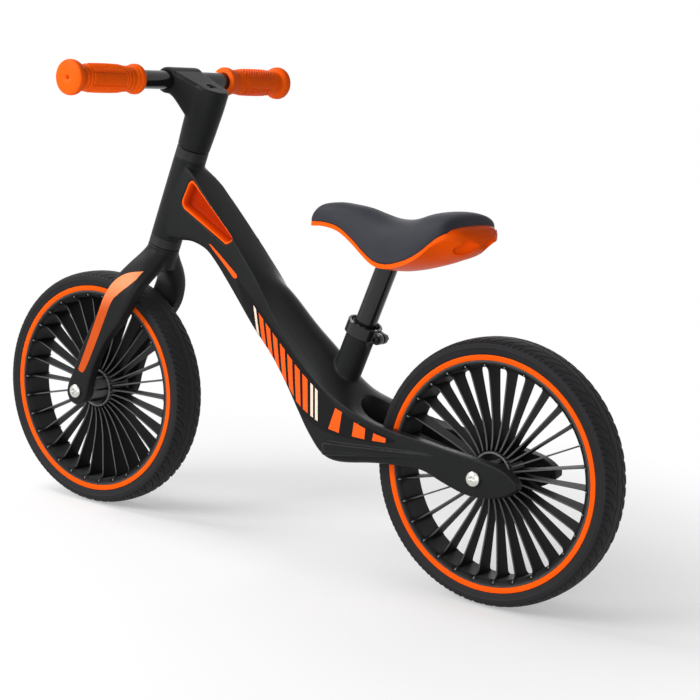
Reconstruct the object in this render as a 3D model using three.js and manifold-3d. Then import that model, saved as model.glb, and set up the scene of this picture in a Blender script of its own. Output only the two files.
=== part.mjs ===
import * as THREE from 'three';
import { mergeVertices } from 'three/addons/utils/BufferGeometryUtils.js';
import Module from 'manifold-3d';

// A child's balance bike with moulded frame and fork, foam tyres on vaned plastic
// wheels, and a padded saddle on a height-adjustable post.
// Millimetres, X forward, Y to the rider's left, Z up, origin on the floor midway
// between the axles.

const wasm = await Module();
wasm.setup();
const degrees = THREE.MathUtils.degToRad;

// Layout of the whole bike
const wheelBase = 585;
const tyreRadius = 147;
const headTilt = degrees(18);
const forkOffset = 27.7;
const crownClearance = 62.4;
const headLength = 127;
const seatTilt = degrees(20.2);
const fitGap = 0.3;
const cutOverrun = 10;

// Wheels
const tyreHalfWidth = 23.5;
const tyreHeight = 17;
const ringWidth = 7;
const ringFace = 21.2;
const ringThickness = 3.6;
const rimWall = 7;
const rimLip = 2.2;
const rimLipHalfWidth = 20.6;
const rimBarrelHalfWidth = 17;
const vaneCount = 30;
const vaneThickness = 2;
const vaneTurn = degrees(1.5);
const vaneHubHalfDepth = 14.5;
const vaneWaistHalfDepth = 9;
const vaneRimHalfDepth = 16.5;
const hubRingRadius = 24;
const hubRingWall = 2;
const hubRingHalfDepth = 15;
const hubWebCount = 6;
const hubWebThickness = 2;
const hubWebHalfDepth = 12;
const bossRadius = 13.5;
const bossHalfDepth = 31;
const bearingRadius = 11;
const bearingWidth = 7;
const boreStep = 3;

// Axle sets
const axleRadius = 4;
const spacerRadius = 7;
const dropoutInner = 36;
const dropoutOuter = 50;
const boltHeadRadius = 8.5;
const boltHeadHeight = 5.5;
const boltHeadEdge = 2.2;
const recessLength = 8;
const recessWidth = 1.8;
const recessDepth = 2.5;
const sleeveRadius = 5.5;
const sleeveLength = 14;

// Head tube, headset and steerer
const headRadius = 19.5;
const headBore = 13;
const cupHeight = 12;
const cupSpigotRadius = 16.5;
const cupSpigotLength = 14;
const steererRadius = 11;
const tubeWall = 1.6;
const steererDepth = 32;

// Fork legs
const neckLength = 26;
const legSpread = 43;
const legHalfDepth = 15;
const legEdge = 3;
const shoulderHalfThickness = 15;

// Stem and handlebar
const barRadius = 11;
const barHalfLength = 183;
const barForward = 48;
const barRise = 67.5;
const bossOuterRadius = 15.5;
const stemHalfWidth = 26;
const stemTopRadius = 22;
const stemNose = 6;
const stemRearAboveBar = 10.5;
const stemFrontAboveBar = 14.5;
const stemFrontBelowBar = 12.5;
const stemRearBelowBar = 30.5;
const stemBoreBelowBar = 19.5;
const steererBelowBar = 22.5;
const stemEdge = 4;
const stemBoltRadius = 4;
const stemBoltHeadRadius = 6.5;
const stemBoltHeadHeight = 8;
const stemBoltRecess = 9;
const stemBoltSocket = 3;
const stemBoltLength = 58;
const wedgeHeight = 22;
const wedgeSlope = 7;

// Grips
const gripInnerEnd = 77.5;
const gripOuterEnd = 191;
const gripRadius = 15;
const gripBulge = 1.2;
const gripFlangeRadius = 20.5;
const gripCollarRadius = 17.8;
const gripCollarStep = 1.4;
const gripFlangeWidth = 12;
const gripCollarWidth = 14;
const gripTaper = 6;
const gripVentRadius = 2.5;

// Frame beam, from the head to the dropouts
const stayHalfWidth = 50;
const sideBulge = 3;
const bellyCrown = 1.5;
const crownShares = [0.45, 0.8, 1];
const crownEase = 2.4;
const beamSteps = 28;
const slotHalfWidth = 29;
const slotFrontShare = 0.397;
const slotFlareStartShare = 0.2;
const slotFlareEndShare = 0.105;
const standFaceShare = -0.081;
const standReachShares = [0.2, 0.45];
const ledgeWidth = 6;
const ledgeHalfHeight = 7.5;
const ledgeEdge = 2.5;
const windowFace = 21.5;
const windowRim = 1.8;
const windowPocketTaper = 3.5;
const windowFloor = 6;
const windowCorner = 8;

// Seat tube, clamp, post and saddle
const seatTubeRadius = 16.8;
const seatTubeRoot = 85;
const postRadius = 12.5;
const postWall = 1.8;
const postExposed = 72.7;
const postSocket = 20;
const postInsertion = 70;
const postBoreDepth = 113;
const clampThickness = 3.2;
const clampHeight = 15;
const clampLip = 1;
const clampSlit = 2.4;
const clampSlitDepth = 24;
const earLength = 11;
const earThickness = 6;
const clampBoltRadius = 2.5;
const clampBoltHeadRadius = 4.6;
const clampBoltHeadHeight = 4;
const saddleLength = 224;
const saddleHalfWidth = 61;
const saddleHeight = 72;
const saddleNose = 103;
const saddleDatum = 2;
const trimLip = 4;
const padThickness = 20;
const padGap = 0.7;
const plugDepth = 14;
const saddleScrewRadius = 3;
const saddleScrewHead = 6;
const saddleScrewHeadHeight = 4;

// Places along the seat line, as shares of the way from the rear axle to the head
const seatTopShares = [0.4125, 0.437];

// Facets round the turned pieces
const wheelFacets = 40;
const columnFacets = 28;
const tubeFacets = 20;
const boltFacets = 16;

// Colours and finishes
const finish = (color, roughness, metalness) =>
  new THREE.MeshStandardMaterial({ color, roughness, metalness });
const blackShell = () => finish(0x2b2d2d, 0.55, 0);
const blackRim = () => finish(0x1f2021, 0.5, 0);
const blackFoam = () => finish(0x29292b, 0.85, 0);
const glossBlack = () => finish(0x0d0d0e, 0.18, 0.1);
const orange = () => finish(0xf7620c, 0.4, 0);
const padSkin = () => finish(0x34353b, 0.6, 0);
const zinc = () => finish(0xc9cac4, 0.28, 1);
const steel = () => finish(0x8b8d8f, 0.35, 1);
const blackSteel = () => finish(0x1c1c1e, 0.35, 0.6);

// Shape helpers
function faceOut(geometry) {
  const bare = geometry.clone();
  bare.deleteAttribute('normal');
  bare.deleteAttribute('uv');
  const welded = mergeVertices(bare);
  const place = welded.attributes.position;
  const corner = (i) => new THREE.Vector3().fromBufferAttribute(place, i);
  const faces = [];
  let volume = 0;
  for (let i = 0; i < welded.index.count; i += 3) {
    const [a, b, c] = [0, 1, 2].map((k) => welded.index.getX(i + k));
    if (a === b || b === c || c === a) continue;
    volume += corner(a).dot(corner(b).cross(corner(c)));
    faces.push([a, b, c]);
  }
  if (volume < 0) faces.forEach((face) => face.reverse());
  welded.setIndex(faces.flat());
  welded.computeVertexNormals();
  return welded;
}

function toSolid(geometry) {
  const welded = faceOut(geometry);
  const vertProperties = new Float32Array(welded.attributes.position.array);
  const triVerts = new Uint32Array(welded.index.array);
  return new wasm.Manifold(new wasm.Mesh({ numProp: 3, vertProperties, triVerts }));
}

function toGeometry(solid) {
  const cut = solid.getMesh();
  const geometry = new THREE.BufferGeometry();
  geometry.setAttribute('position', new THREE.BufferAttribute(cut.vertProperties, 3));
  geometry.setIndex(new THREE.BufferAttribute(cut.triVerts, 1));
  return geometry;
}

const union = (first, ...others) => others.reduce((sum, next) => sum.add(next), first);
const cutAway = (first, ...others) => others.reduce((rest, next) => rest.subtract(next), first);

// A closed ring of outline points joined to the next, with a fan over each end
function loft(rings) {
  const count = rings[0].length;
  const ends = [rings[0], rings.at(-1)];
  const middles = ends.map((ring) =>
    ring.reduce((sum, p) => sum.clone().add(p)).divideScalar(count));
  const points = [...rings.flat(), ...middles];
  const faces = [];
  const last = rings.length - 1;
  const [startHub, endHub] = [points.length - 2, points.length - 1];
  for (let i = 0; i < count; i++) {
    const j = (i + 1) % count;
    for (let k = 0; k < last; k++) {
      const [a, b] = [k * count + i, k * count + j];
      faces.push(a, b, b + count, a, b + count, a + count);
    }
    faces.push(startHub, j, i, endHub, last * count + i, last * count + j);
  }
  const geometry = new THREE.BufferGeometry().setFromPoints(points);
  geometry.setIndex(faces);
  return faceOut(geometry);
}

// Revolved outline of [radius, height] pairs about Z, or about Y
function turned(outline, facets = tubeFacets) {
  const points = outline.map(([radius, height]) => new THREE.Vector2(radius, height));
  return new THREE.LatheGeometry(points, facets).rotateX(Math.PI / 2);
}
const turnedAcross = (outline, facets = tubeFacets) =>
  turned(outline, facets).rotateX(-Math.PI / 2);
const ringOutline = (inner, outer, low, high) =>
  [[inner, low], [outer, low], [outer, high], [inner, high], [inner, low]];
const rodOutline = (radius, low, high) => [[0, low], [radius, low], [radius, high], [0, high]];

// A flat outline in the XZ plane given a thickness along Y
function slab(shape, low, high, curveSegments = 6) {
  const options = { depth: high - low, bevelEnabled: false, curveSegments };
  return new THREE.ExtrudeGeometry(shape, options).rotateX(Math.PI / 2).translate(0, high, 0);
}

function box(low, high) {
  const size = high.map((value, i) => value - low[i]);
  const middle = high.map((value, i) => (value + low[i]) / 2);
  return new THREE.BoxGeometry(...size).translate(...middle);
}

const curveThrough = (points) => new THREE.CatmullRomCurve3(points, false, 'centripetal');

// Sizes and places derived from the layout
const ringOuterRadius = tyreRadius - tyreHeight;
const ringInnerRadius = ringOuterRadius - ringWidth;
const barHeight = headLength + barRise;
const stemFront = barForward + stemNose;
const stemRearTop = barHeight + stemRearAboveBar;
const stemFrontTop = barHeight + stemFrontAboveBar;
const stemUnderFront = barHeight - stemFrontBelowBar;
const stemUnderRear = barHeight - stemRearBelowBar;
const stemBoreTop = barHeight - stemBoreBelowBar;
const steererReach = barHeight - steererBelowBar;
const rearAxle = new THREE.Vector3(-wheelBase / 2, 0, tyreRadius);
const frontAxle = new THREE.Vector3(wheelBase / 2, 0, tyreRadius);
const headUp = new THREE.Vector3(-Math.sin(headTilt), 0, Math.cos(headTilt));
const headForward = new THREE.Vector3(Math.cos(headTilt), 0, Math.sin(headTilt));
const forkLength = tyreRadius + crownClearance;
const headFoot = frontAxle.clone()
  .addScaledVector(headForward, -forkOffset)
  .addScaledVector(headUp, forkLength);
const headTop = headFoot.clone().addScaledVector(headUp, headLength);
const byHeadTop = (x, z, y = 0) => new THREE.Vector3(
  rearAxle.x + x * (headTop.x - rearAxle.x),
  y * stayHalfWidth,
  rearAxle.z + z * (headTop.z - rearAxle.z));
const byHeadFoot = (x, z, y = 0) => new THREE.Vector3(
  rearAxle.x + x * (headFoot.x - rearAxle.x),
  y * stayHalfWidth,
  rearAxle.z + z * (headFoot.z - rearAxle.z));
const seatTop = byHeadTop(...seatTopShares);
const seatUp = new THREE.Vector3(-Math.sin(seatTilt), 0, Math.cos(seatTilt));
const saddleSeat = seatTop.clone().addScaledVector(seatUp, postExposed);

const bike = new THREE.Group();
const steering = new THREE.Group();
steering.position.copy(headFoot);
steering.rotation.y = -headTilt;
const seatAxis = new THREE.Group();
seatAxis.position.copy(seatTop);
seatAxis.rotation.y = -seatTilt;
const saddleGroup = new THREE.Group();
saddleGroup.position.copy(saddleSeat);
bike.add(steering, seatAxis, saddleGroup);

function place(parent, name, geometry, material) {
  const mesh = new THREE.Mesh(faceOut(geometry), material);
  mesh.name = name;
  parent.add(mesh);
  return mesh;
}

// Wheels: foam tyre, rim with vanes and hub, trim rings and bearings
function tyreGeometry() {
  const beadStep = ringFace - ringThickness;
  const shoulder = ringOuterRadius + (tyreRadius - ringOuterRadius) * 0.68;
  const side = [
    [ringInnerRadius, beadStep - fitGap],
    [ringOuterRadius + fitGap, beadStep - fitGap],
    [ringOuterRadius + fitGap, ringFace],
    [shoulder, tyreHalfWidth],
    [tyreRadius, tyreHalfWidth * 0.5],
  ];
  const other = side.map(([radius, height]) => [radius, -height]).reverse();
  return turnedAcross([...side, ...other, side[0]], wheelFacets);
}

function trimRingGeometry(sign) {
  const back = ringFace - ringThickness;
  const outline = [
    [ringInnerRadius, back],
    [ringOuterRadius, back],
    [ringOuterRadius, ringFace],
    [ringInnerRadius, ringFace - ringThickness / 4],
    [ringInnerRadius, back],
  ];
  return turnedAcross(outline.map(([radius, height]) => [radius, sign * height]), wheelFacets);
}

function rimBarrel() {
  const seat = ringInnerRadius - fitGap;
  const side = [
    [seat - rimWall, rimBarrelHalfWidth],
    [seat - rimLip, rimLipHalfWidth],
    [seat, rimLipHalfWidth],
  ];
  const other = side.map(([radius, height]) => [radius, -height]).reverse();
  return toSolid(turnedAcross([...side, ...other, side[0]], wheelFacets));
}

function vaneShape() {
  const start = hubRingRadius - hubRingWall / 2;
  const end = ringInnerRadius - rimWall / 2;
  const reach = end - start;
  const edge = [
    [start, vaneHubHalfDepth],
    [start + reach * 0.3, vaneWaistHalfDepth * 1.1],
    [start + reach * 0.84, vaneWaistHalfDepth],
    [end, vaneRimHalfDepth],
  ];
  const other = edge.map(([radius, depth]) => [radius, -depth]).reverse();
  return new THREE.Shape([...edge, ...other].map(([x, y]) => new THREE.Vector2(x, y)));
}

// A flat blade in the plane of the axle, turned to its place round the hub
function radialBlades(shape, thickness, count) {
  const options = { depth: thickness, bevelEnabled: false };
  return Array.from({ length: count }, (_, i) => {
    const blade = new THREE.ExtrudeGeometry(shape, options);
    blade.translate(0, 0, -thickness / 2).rotateY((i / count) * Math.PI * 2 + vaneTurn);
    return toSolid(blade);
  });
}

function hubWebShape() {
  const start = bossRadius - hubRingWall / 2;
  const end = hubRingRadius - hubRingWall / 2;
  return new THREE.Shape([
    new THREE.Vector2(start, -hubWebHalfDepth),
    new THREE.Vector2(end, -hubWebHalfDepth),
    new THREE.Vector2(end, hubWebHalfDepth),
    new THREE.Vector2(start, hubWebHalfDepth),
  ]);
}

function hubBoss() {
  const pocket = bossHalfDepth - bearingWidth - fitGap;
  const seat = bearingRadius + fitGap;
  const bore = seat - boreStep;
  return toSolid(turnedAcross([
    [bossRadius, -bossHalfDepth], [bossRadius, bossHalfDepth], [seat, bossHalfDepth],
    [seat, pocket], [bore, pocket], [bore, -pocket], [seat, -pocket],
    [seat, -bossHalfDepth], [bossRadius, -bossHalfDepth],
  ], boltFacets));
}

function rimGeometry() {
  const hubRing = toSolid(turnedAcross(ringOutline(
    hubRingRadius - hubRingWall, hubRingRadius, -hubRingHalfDepth, hubRingHalfDepth),
  vaneCount).rotateY(vaneTurn - Math.PI / vaneCount));
  const vanes = radialBlades(vaneShape(), vaneThickness, vaneCount);
  const webs = radialBlades(hubWebShape(), hubWebThickness, hubWebCount);
  return toGeometry(union(rimBarrel(), hubRing, hubBoss(), ...webs, ...vanes));
}

function bearingGeometry(sign) {
  const outline = ringOutline(
    axleRadius + fitGap, bearingRadius, bossHalfDepth - bearingWidth, bossHalfDepth);
  return turnedAcross(outline.map(([radius, height]) => [radius, sign * height]), boltFacets);
}

function addWheel(prefix, axle) {
  const wheel = new THREE.Group();
  wheel.position.copy(axle);
  bike.add(wheel);
  place(wheel, `${prefix}_tyre`, tyreGeometry(), blackFoam());
  place(wheel, `${prefix}_rim`, rimGeometry(), blackRim());
  place(wheel, `${prefix}_trim_ring_left`, trimRingGeometry(1), orange());
  place(wheel, `${prefix}_trim_ring_right`, trimRingGeometry(-1), orange());
  place(wheel, `${prefix}_bearing_left`, bearingGeometry(1), steel());
  place(wheel, `${prefix}_bearing_right`, bearingGeometry(-1), steel());
}

// Axle set: bolt from the left, sleeve nut from the right, spacer each side
const headSeat = dropoutOuter + fitGap;
const headDome = [
  [boltHeadRadius, headSeat],
  [boltHeadRadius, headSeat + boltHeadEdge],
  [boltHeadRadius * 0.75, headSeat + boltHeadHeight * 0.82],
  [0, headSeat + boltHeadHeight],
];

function crossRecess(sign) {
  const outer = headSeat + boltHeadHeight;
  const span = [sign * (outer - recessDepth), sign * (outer + cutOverrun)].sort((a, b) => a - b);
  const [long, thin] = [recessLength / 2, recessWidth / 2];
  const arm = toSolid(box([-long, span[0], -thin], [long, span[1], thin]));
  return arm.add(toSolid(box([-thin, span[0], -long], [thin, span[1], long])));
}

function axleBoltGeometry() {
  const end = sleeveLength - headSeat;
  const outline = [[0, end], [axleRadius, end], [axleRadius, headSeat], ...headDome];
  return toGeometry(cutAway(toSolid(turnedAcross(outline, boltFacets)), crossRecess(1)));
}

function axleNutGeometry() {
  const bore = axleRadius + fitGap;
  const back = headSeat - sleeveLength;
  const outline = [
    [0, headSeat], [bore, headSeat], [bore, back + fitGap], [sleeveRadius, back + fitGap],
    [sleeveRadius, headSeat], ...headDome,
  ].map(([radius, height]) => [radius, -height]);
  return toGeometry(cutAway(toSolid(turnedAcross(outline, boltFacets)), crossRecess(-1)));
}

function spacerGeometry(sign) {
  const [low, high] = [bossHalfDepth + fitGap, dropoutInner - fitGap];
  const outline = ringOutline(axleRadius + fitGap, spacerRadius, low, high);
  return turnedAcross(outline.map(([radius, height]) => [radius, sign * height]), boltFacets);
}

function addAxle(prefix, axle) {
  const set = new THREE.Group();
  set.position.copy(axle);
  bike.add(set);
  place(set, `${prefix}_axle_bolt`, axleBoltGeometry(), zinc());
  place(set, `${prefix}_axle_nut`, axleNutGeometry(), zinc());
  place(set, `${prefix}_axle_spacer_left`, spacerGeometry(1), blackRim());
  place(set, `${prefix}_axle_spacer_right`, spacerGeometry(-1), blackRim());
}

function axleHoles(axle) {
  const left = turnedAcross(rodOutline(axleRadius + fitGap, 0, dropoutOuter + cutOverrun));
  const right = turnedAcross(rodOutline(sleeveRadius + fitGap, -dropoutOuter - cutOverrun, 0));
  return [left, right].map((hole) => toSolid(hole.translate(...axle.toArray())));
}

// Frame: one moulded beam from the head to the dropouts.
// Each station holds shares of the way from the rear axle to the head: the top
// line, the ridge along the side and the low edge, with the width as a share of
// the stays' half width.
const beamStationShares = [
  [[1.01, 0.954], [1.004, 0.944, 0.34], [0.988, 1.085, 0.34]],
  [[0.973, 0.922], [0.977, 0.918, 0.35], [0.939, 1.07, 0.34]],
  [[0.936, 0.873], [0.938, 0.873, 0.42], [0.892, 1.08, 0.38]],
  [[0.9, 0.822], [0.903, 0.822, 0.44], [0.848, 1.053, 0.4]],
  [[0.843, 0.739], [0.845, 0.739, 0.45], [0.805, 0.977, 0.41]],
  [[0.779, 0.645], [0.784, 0.645, 0.47], [0.746, 0.814, 0.42]],
  [[0.72, 0.563], [0.716, 0.533, 0.5], [0.675, 0.613, 0.46]],
  [[0.659, 0.5], [0.654, 0.411, 0.54], [0.607, 0.451, 0.51]],
  [[0.577, 0.402], [0.582, 0.308, 0.59], [0.548, 0.276, 0.59]],
  [[0.498, 0.315], [0.507, 0.222, 0.68], [0.509, 0.147, 0.66]],
  [[0.43, 0.215], [0.441, 0.177, 0.79], [0.462, 0.022, 0.81]],
  [[0.384, 0.161], [0.384, 0.149, 0.89], [0.406, -0.089, 0.9]],
  [[0.324, 0.106], [0.305, 0.119, 0.96], [0.278, -0.047, 0.96]],
  [[0.269, 0.0965], [0.236, 0.103, 0.98], [0.207, -0.029, 0.98]],
  [[0.192, 0.085], [0.162, 0.093, 1], [0.145, -0.021, 1]],
  [[0.052, 0.07], [0.052, 0.074, 1], [0.07, -0.079, 1]],
  [[-0.016, 0.06], [-0.016, 0.064, 1], [0.005, -0.115, 1]],
  [[-0.065, 0.055], [-0.065, 0.051, 1], [-0.06, -0.089, 1]],
  [[-0.113, 0.035], [-0.113, 0.032, 1], [-0.104, 0.01, 1]],
];

function beamRing(top, ridge, low) {
  const half = [top];
  for (const share of crownShares) {
    const point = ridge.clone().lerp(top, 1 - share ** crownEase);
    point.y = ridge.y * share;
    half.push(point);
  }
  const bulge = sideBulge * (1 - ridge.y / stayHalfWidth);
  for (const share of [0.35, 0.7]) {
    const point = ridge.clone().lerp(low, share);
    point.y += bulge * Math.sin(share * Math.PI);
    half.push(point);
  }
  half.push(low);
  const down = low.clone().sub(ridge).setY(0).normalize();
  const corner = low.clone().addScaledVector(down, bellyCrown * 0.7);
  corner.y *= 0.82;
  const belly = low.clone().addScaledVector(down, bellyCrown).setY(0);
  const otherSide = [...half.slice(1), corner].reverse()
    .map((p) => new THREE.Vector3(p.x, -p.y, p.z));
  return [...half, corner, belly, ...otherSide];
}

function beamSolid() {
  const rail = (pick, at) => curveThrough(beamStationShares.map((s) => at(...s[pick])));
  const rails = [rail(0, byHeadTop), rail(1, byHeadTop), rail(2, byHeadFoot)];
  const rings = Array.from({ length: beamSteps + 1 }, (_, i) =>
    beamRing(...rails.map((curve) => curve.getPoint(i / beamSteps))));
  return toSolid(loft(rings));
}

function wheelSlot() {
  const at = (share) => byHeadTop(share, 0).x;
  const centre = at(slotFrontShare) - slotHalfWidth;
  const back = rearAxle.x - tyreRadius;
  const shape = new THREE.Shape();
  shape.moveTo(back, -dropoutInner);
  shape.lineTo(at(slotFlareEndShare), -dropoutInner);
  shape.lineTo(at(slotFlareStartShare), -slotHalfWidth);
  shape.lineTo(centre, -slotHalfWidth);
  shape.absarc(centre, 0, slotHalfWidth, -Math.PI / 2, Math.PI / 2);
  shape.lineTo(at(slotFlareStartShare), slotHalfWidth);
  shape.lineTo(at(slotFlareEndShare), dropoutInner);
  shape.lineTo(back, dropoutInner);
  const options = { depth: seatTop.z, bevelEnabled: false, curveSegments: 16 };
  return toSolid(new THREE.ExtrudeGeometry(shape, options));
}

// Flat patch under the beam, in front of the wheel slot
function standCut() {
  const [front, back] = standReachShares.map((share) => rearAxle.x * share);
  const reach = stayHalfWidth + cutOverrun;
  return toSolid(box([back, -reach, 0], [front, reach, byHeadFoot(0, standFaceShare).z]));
}

// Footrest ledge along each side: shares along the bike of its middle line, with
// its half height and how far it stands out as shares of their full size
const ledgeStationShares = [
  [0.437, -0.012, 0.55, 0.3],
  [0.425, -0.009, 0.93, 0.9],
  [0.362, 0.0016, 0.8, 1],
  [0.322, 0.0093, 0.72, 1],
  [0.225, 0.0257, 0.53, 0.9],
  [0.153, 0.0353, 0.4, 0.6],
  [0.034, 0.045, 0.2, 0.05],
];

function ledgeSolid(sign) {
  const root = stayHalfWidth - ledgeWidth * 2;
  const rings = ledgeStationShares.map(([x, z, tall, wide]) => {
    const middle = byHeadTop(x, z);
    const half = ledgeHalfHeight * tall;
    const face = stayHalfWidth - ledgeWidth / 3 + ledgeWidth * wide;
    const edge = Math.min(ledgeEdge, half / 2);
    return [
      [root, -half], [face - edge, -half], [face, edge - half],
      [face, half - edge], [face - edge, half], [root, half],
    ].map(([y, z2]) => new THREE.Vector3(middle.x, sign * y, middle.z + z2));
  });
  return toSolid(loft(rings));
}

// Rounded window behind the head tube
const windowCornerShares = [[1.002, 0.784], [0.966, 0.902], [0.806, 0.658]];

function insetCorners(corners, distance) {
  const count = corners.length;
  const middle = corners.reduce((sum, p) => sum.clone().add(p)).divideScalar(count);
  const edges = corners.map((from, i) => {
    const along = corners[(i + 1) % count].clone().sub(from).normalize();
    const inward = new THREE.Vector2(-along.y, along.x);
    if (inward.dot(middle.clone().sub(from)) < 0) inward.negate();
    return { from: from.clone().addScaledVector(inward, distance), along };
  });
  return edges.map((edge, i) => {
    const before = edges[(i + count - 1) % count];
    const gap = edge.from.clone().sub(before.from);
    const share = gap.cross(edge.along) / before.along.cross(edge.along);
    return before.from.clone().addScaledVector(before.along, share);
  });
}

function windowShape(distance) {
  const corners = insetCorners(
    windowCornerShares.map(([x, z]) => byHeadTop(x, z)).map((p) => new THREE.Vector2(p.x, p.z)),
    distance);
  const radius = windowCorner - distance / 2;
  const shape = new THREE.Shape();
  corners.forEach((corner, i) => {
    const before = corners[(i + 2) % 3].clone().sub(corner).setLength(radius).add(corner);
    const after = corners[(i + 1) % 3].clone().sub(corner).setLength(radius).add(corner);
    if (i === 0) shape.moveTo(before.x, before.y);
    else shape.lineTo(before.x, before.y);
    shape.quadraticCurveTo(corner.x, corner.y, after.x, after.y);
  });
  shape.closePath();
  return shape;
}

function windowRing(distance, y) {
  const outline = windowShape(distance).extractPoints(6).shape;
  return outline.slice(0, -1).map((p) => new THREE.Vector3(p.x, y, p.y));
}

function windowInsertGeometry(sign) {
  const y = (value) => sign * value;
  const plug = toSolid(loft([
    windowRing(fitGap, y(fitGap)), windowRing(fitGap, y(windowFace))]));
  const lipInset = fitGap + windowRim;
  const pocket = toSolid(loft([
    windowRing(lipInset + windowPocketTaper, y(windowFloor)),
    windowRing(lipInset, y(windowFace + fitGap))]));
  return toGeometry(plug.subtract(pocket));
}

function inGroup(group, geometry) {
  group.updateMatrix();
  return toSolid(geometry.applyMatrix4(group.matrix));
}

function frameGeometry() {
  const headTube = turned(rodOutline(headRadius, cupHeight, headLength - cupHeight), columnFacets);
  const seatTube = turned(rodOutline(seatTubeRadius, -seatTubeRoot, 0));
  const body = union(
    beamSolid(), inGroup(steering, headTube), inGroup(seatAxis, seatTube));
  const slit = box([-seatTubeRadius - cutOverrun, -clampSlit / 2, -clampSlitDepth],
    [0, clampSlit / 2, cutOverrun]);
  const postBore = turned(rodOutline(postRadius + fitGap, -postBoreDepth, cutOverrun));
  const spigotBore = cupSpigotRadius + fitGap;
  const spigotDepth = cupHeight + cupSpigotLength + fitGap;
  const bores = [
    rodOutline(headBore, -cutOverrun, headLength + cutOverrun),
    rodOutline(spigotBore, -cutOverrun, spigotDepth),
    rodOutline(spigotBore, headLength - spigotDepth, headLength + cutOverrun),
  ].map((outline) => inGroup(steering, turned(outline)));
  const windowReach = stayHalfWidth + cutOverrun;
  const windowCut = toSolid(slab(windowShape(0), -windowReach, windowReach));
  const lit = union(body, ledgeSolid(1), ledgeSolid(-1));
  return toGeometry(cutAway(lit, wheelSlot(), standCut(), windowCut, ...bores,
    inGroup(seatAxis, postBore), inGroup(seatAxis, slit), ...axleHoles(rearAxle)));
}

// Headset cups, pressed into the head tube
function cupGeometry(flip) {
  const bore = steererRadius + fitGap;
  const face = cupHeight - fitGap;
  const outline = [
    [bore, fitGap], [headRadius, fitGap], [headRadius, face], [cupSpigotRadius, face],
    [cupSpigotRadius, cupHeight + cupSpigotLength],
    [bore, cupHeight + cupSpigotLength], [bore, fitGap],
  ];
  const place = ([radius, height]) => [radius, flip ? headLength - height : height];
  return turned(outline.map(place));
}

// Fork: shares of the leg's own sizes at each station down the left leg, as
// [forward, out, down, half depth, half thickness, roll in degrees, roundness]
const legStationShares = [
  [0, 0.1, 0.03, 1.12, 0.9, 15, 0.95],
  [0, 0.3, 0.09, 1.24, 0.85, 38, 0.95],
  [0.03, 0.62, 0.165, 1.38, 0.8, 45, 0.85],
  [0.11, 0.9, 0.258, 1.43, 0.7, 25, 0.6],
  [0.25, 1.01, 0.363, 1.36, 0.6, 5, 0.3],
  [0.42, 1.01, 0.478, 1.22, 0.53, 0, 0.1],
  [0.7, 1.01, 0.592, 1.05, 0.48, 0, 0],
  [0.97, 1, 0.788, 0.96, 0.4667, 0, 0],
  [1, 1, 0.92, 1.02, 0.4667, 0, 0],
  [1, 1, 1, 1.12, 0.4667, 0, 0],
  [1.02, 1, 1.06, 0.85, 0.44, 0, 0],
  [1.05, 1, 1.085, 0.4, 0.38, 0, 0],
];

function legRing([forward, out, down, deep, thick, roll, round], sign) {
  const [a, b] = [legHalfDepth * deep, shoulderHalfThickness * thick];
  const [long, wide] = [Math.max(legEdge, a * round), Math.max(legEdge, b * round)];
  const quarter = [
    [a, b - wide], [a - long * 0.29, b - wide * 0.29], [a - long, b],
  ];
  const outline = [
    ...quarter,
    ...quarter.map(([x, y]) => [-x, y]).reverse(),
    ...quarter.map(([x, y]) => [-x, -y]),
    ...quarter.map(([x, y]) => [x, -y]).reverse(),
  ];
  const [cos, sin] = [Math.cos(degrees(roll)), Math.sin(degrees(roll))];
  const centre = [forkOffset * forward, legSpread * out, -forkLength * down];
  return outline.map(([x, y]) => new THREE.Vector3(
    centre[0] + x, sign * (centre[1] + y * cos), centre[2] + y * sin));
}

function legSolid(sign) {
  return toSolid(loft(legStationShares.map((station) => legRing(station, sign))));
}

function forkGeometry() {
  const neck = toSolid(turned(rodOutline(headRadius, -neckLength, 0), columnFacets));
  const bore = toSolid(turned(rodOutline(
    steererRadius + fitGap, -steererDepth, cutOverrun)));
  const axle = new THREE.Vector3(forkOffset, 0, -forkLength);
  return toGeometry(cutAway(union(neck, legSolid(1), legSolid(-1)), bore, ...axleHoles(axle)));
}

// Stem: column on the steerer with a forward block that grips the bar
function stemRing(forward, half, low, high) {
  const e = stemEdge;
  return [
    [half, low + e], [half, high - e], [half - e, high], [e - half, high],
    [-half, high - e], [-half, low + e], [e - half, low], [half - e, low],
  ].map(([y, z]) => new THREE.Vector3(forward, y, z));
}

function stemSolid() {
  const base = headLength + fitGap;
  const mid = (base + stemRearTop) / 2;
  const column = toSolid(turned([
    [0, base], [headRadius, base], [(headRadius + stemTopRadius) / 2, mid],
    [stemTopRadius, stemUnderFront], [stemTopRadius, stemRearTop - stemEdge / 2],
    [stemTopRadius - stemEdge, stemRearTop], [0, stemRearTop],
  ], columnFacets));
  const run = stemFront + stemTopRadius;
  const top = (share) => stemRearTop + (stemFrontTop - stemRearTop) * share;
  const under = (share) => stemUnderRear + (stemUnderFront - stemUnderRear) * share;
  const at = (share) => stemFront - run * (1 - share);
  const block = toSolid(loft([
    stemRing(at(0.2), stemHalfWidth * 0.72, under(0), top(0)),
    stemRing(at(0.45), stemHalfWidth * 0.87, under(0), top(0.3)),
    stemRing(at(0.6), stemHalfWidth * 0.96, under(0.45), top(0.55)),
    stemRing(at(0.75), stemHalfWidth, under(0.8), top(0.8)),
    stemRing(at(1), stemHalfWidth, under(1), top(1)),
  ]));
  const boss = turnedAcross(rodOutline(bossOuterRadius, -stemHalfWidth, stemHalfWidth), columnFacets);
  return union(column, block, toSolid(boss.translate(barForward, 0, barHeight)));
}

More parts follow.
